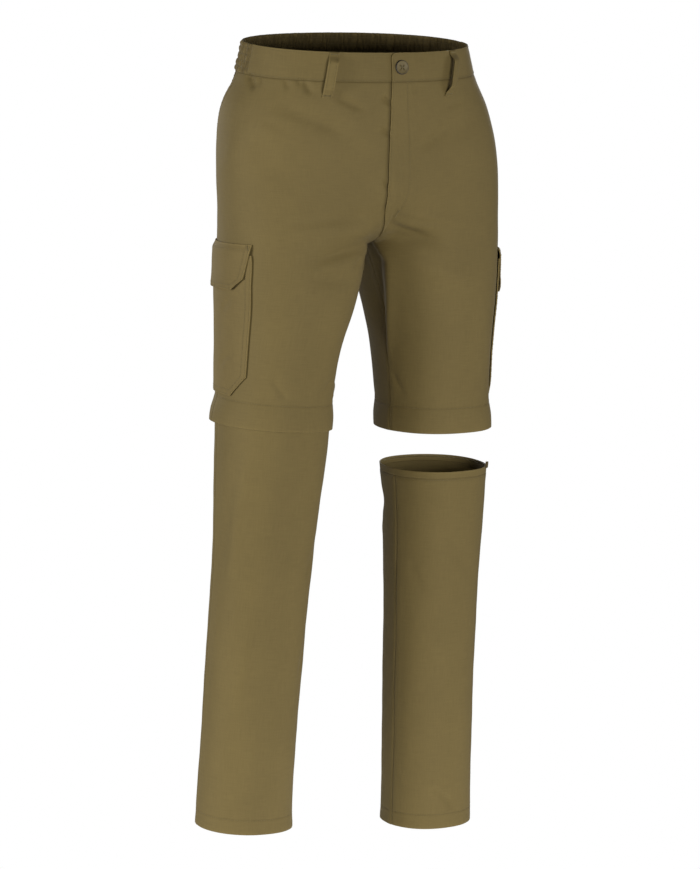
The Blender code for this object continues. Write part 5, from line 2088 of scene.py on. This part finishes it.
@dataclass
class StudioSet:
    """Camera at the photograph's angle, soft lights, white surround and pale floor.

    The key stands far to the left, so that the right leg shades the inner side of the left one.
    The lights stand no higher than the waist, so the inside of the waistband stays dark.
    """

    target: tuple[float, float, float] = (0.0, 0.0, -0.521)
    azimuth_deg: float = -27.0
    elevation_deg: float = 7.4
    distance: float = 5.0
    lens: float = 155.1
    shift_x: float = -5 / 869
    floor_level: float = -1.30
    floor_radius: float = 0.75
    surround: float = 0.07
    light_size: tuple[float, float] = (1.2, 0.8)
    light_distance: float = 3.2
    light_aim: tuple[float, float, float] = (0.0, 0.0, -0.55)
    lights: tuple[SoftLight, ...] = (
        SoftLight("key_left", -92, 8, 65),
        SoftLight("front_soft", -3, 3, 62),
        SoftLight("fill_right", 60, 5, 20),
        SoftLight("back_right", 140, 12, 30),
        SoftLight("back_left", -170, 12, 18),
    )

    def direction(self, azimuth_deg: float, elevation_deg: float) -> Vector:
        """Unit vector from the object towards a place round it."""
        a, e = math.radians(azimuth_deg), math.radians(elevation_deg)
        return Vector((math.sin(a) * math.cos(e), -math.cos(a) * math.cos(e), math.sin(e)))

    def aim(self, item: bpy.types.Object, at: tuple[float, float, float], way: tuple[float, float],
            distance: float) -> None:
        """Stand an item off a place and point it there.

        Args:
            item: the camera or light.
            at: the place that it looks at.
            way: azimuth and elevation of the item from that place, in degrees.
            distance: how far off it stands.
        """
        bpy.context.scene.collection.objects.link(item)
        back = self.direction(*way)
        item.location = Vector(at) + back * distance
        item.rotation_euler = (-back).to_track_quat("-Z", "Y").to_euler()

    def add_camera(self) -> None:
        """Place the camera."""
        data = bpy.data.cameras.new("camera")
        data.lens, data.sensor_width, data.shift_x = self.lens, 36.0, self.shift_x
        data.clip_start, data.clip_end = 0.1, 60.0
        camera = bpy.data.objects.new("camera", data)
        self.aim(camera, self.target, (self.azimuth_deg, self.elevation_deg), self.distance)
        bpy.context.scene.camera = camera

    def add_light(self, soft: SoftLight) -> None:
        """Place one soft light.

        Args:
            soft: the light.
        """
        data = bpy.data.lights.new(soft.name, "AREA")
        data.energy, data.shape, data.size, data.size_y = soft.power, "RECTANGLE", *self.light_size
        light = bpy.data.objects.new(soft.name, data)
        self.aim(light, self.light_aim, (soft.azimuth_deg, soft.elevation_deg), self.light_distance)

    def add_surround(self) -> None:
        """White all round for the eye, and a softer white for the light that it gives."""
        world = bpy.data.worlds.new("studio")
        bpy.context.scene.world = world
        world.use_nodes = True
        tree = world.node_tree
        tree.nodes.clear()
        seen = add_node(tree, "ShaderNodeLightPath")
        white = add_node(tree, "ShaderNodeBackground", links={"Color": (1, 1, 1, 1), "Strength": 1.0})
        soft = add_node(tree, "ShaderNodeBackground",
                        links={"Color": (1, 1, 1, 1), "Strength": self.surround})
        mixed = add_node(tree, "ShaderNodeMixShader",
                         links={0: seen.outputs["Is Camera Ray"], 1: soft.outputs[0], 2: white.outputs[0]})
        add_node(tree, "ShaderNodeOutputWorld", links={0: mixed.outputs[0]})

    def add_floor(self) -> None:
        """Lay the floor."""
        work = bmesh.new()
        bmesh.ops.create_circle(work, cap_ends=True, segments=96, radius=self.floor_radius,
                                matrix=Matrix.Translation((0, 0, self.floor_level)))
        mesh = bpy.data.meshes.new("floor")
        work.to_mesh(mesh)
        work.free()
        mesh.materials.append(PaleFloor().material())
        floor = bpy.data.objects.new("floor", mesh)
        bpy.context.scene.collection.objects.link(floor)

    def build(self) -> None:
        """Set the whole studio."""
        bpy.context.scene.view_settings.view_transform = "Standard"
        self.add_camera()
        self.add_surround()
        self.add_floor()
        for light in self.lights:
            self.add_light(light)


def main() -> None:
    """Build every sub-assembly in order."""
    logging.basicConfig(level=logging.INFO, format="%(name)s %(message)s")
    StudioSet().build()
    finishes = Finishes.build()
    for side in Side:
        Shorts(side, finishes).build()
        LowerLeg(side, finishes).build()
        HipFacing(side, finishes).build()
        CargoPocket(side, finishes).build()
    KneeZips(finishes).build()
    Waistband(finishes).build()
    BeltLoops(finishes).build()
    FlyZip(finishes).build()
    WaistButton(finishes).build()
    EndBox(finishes).build()
    bpy.context.view_layer.update()


if __name__ == "__main__":
    main()
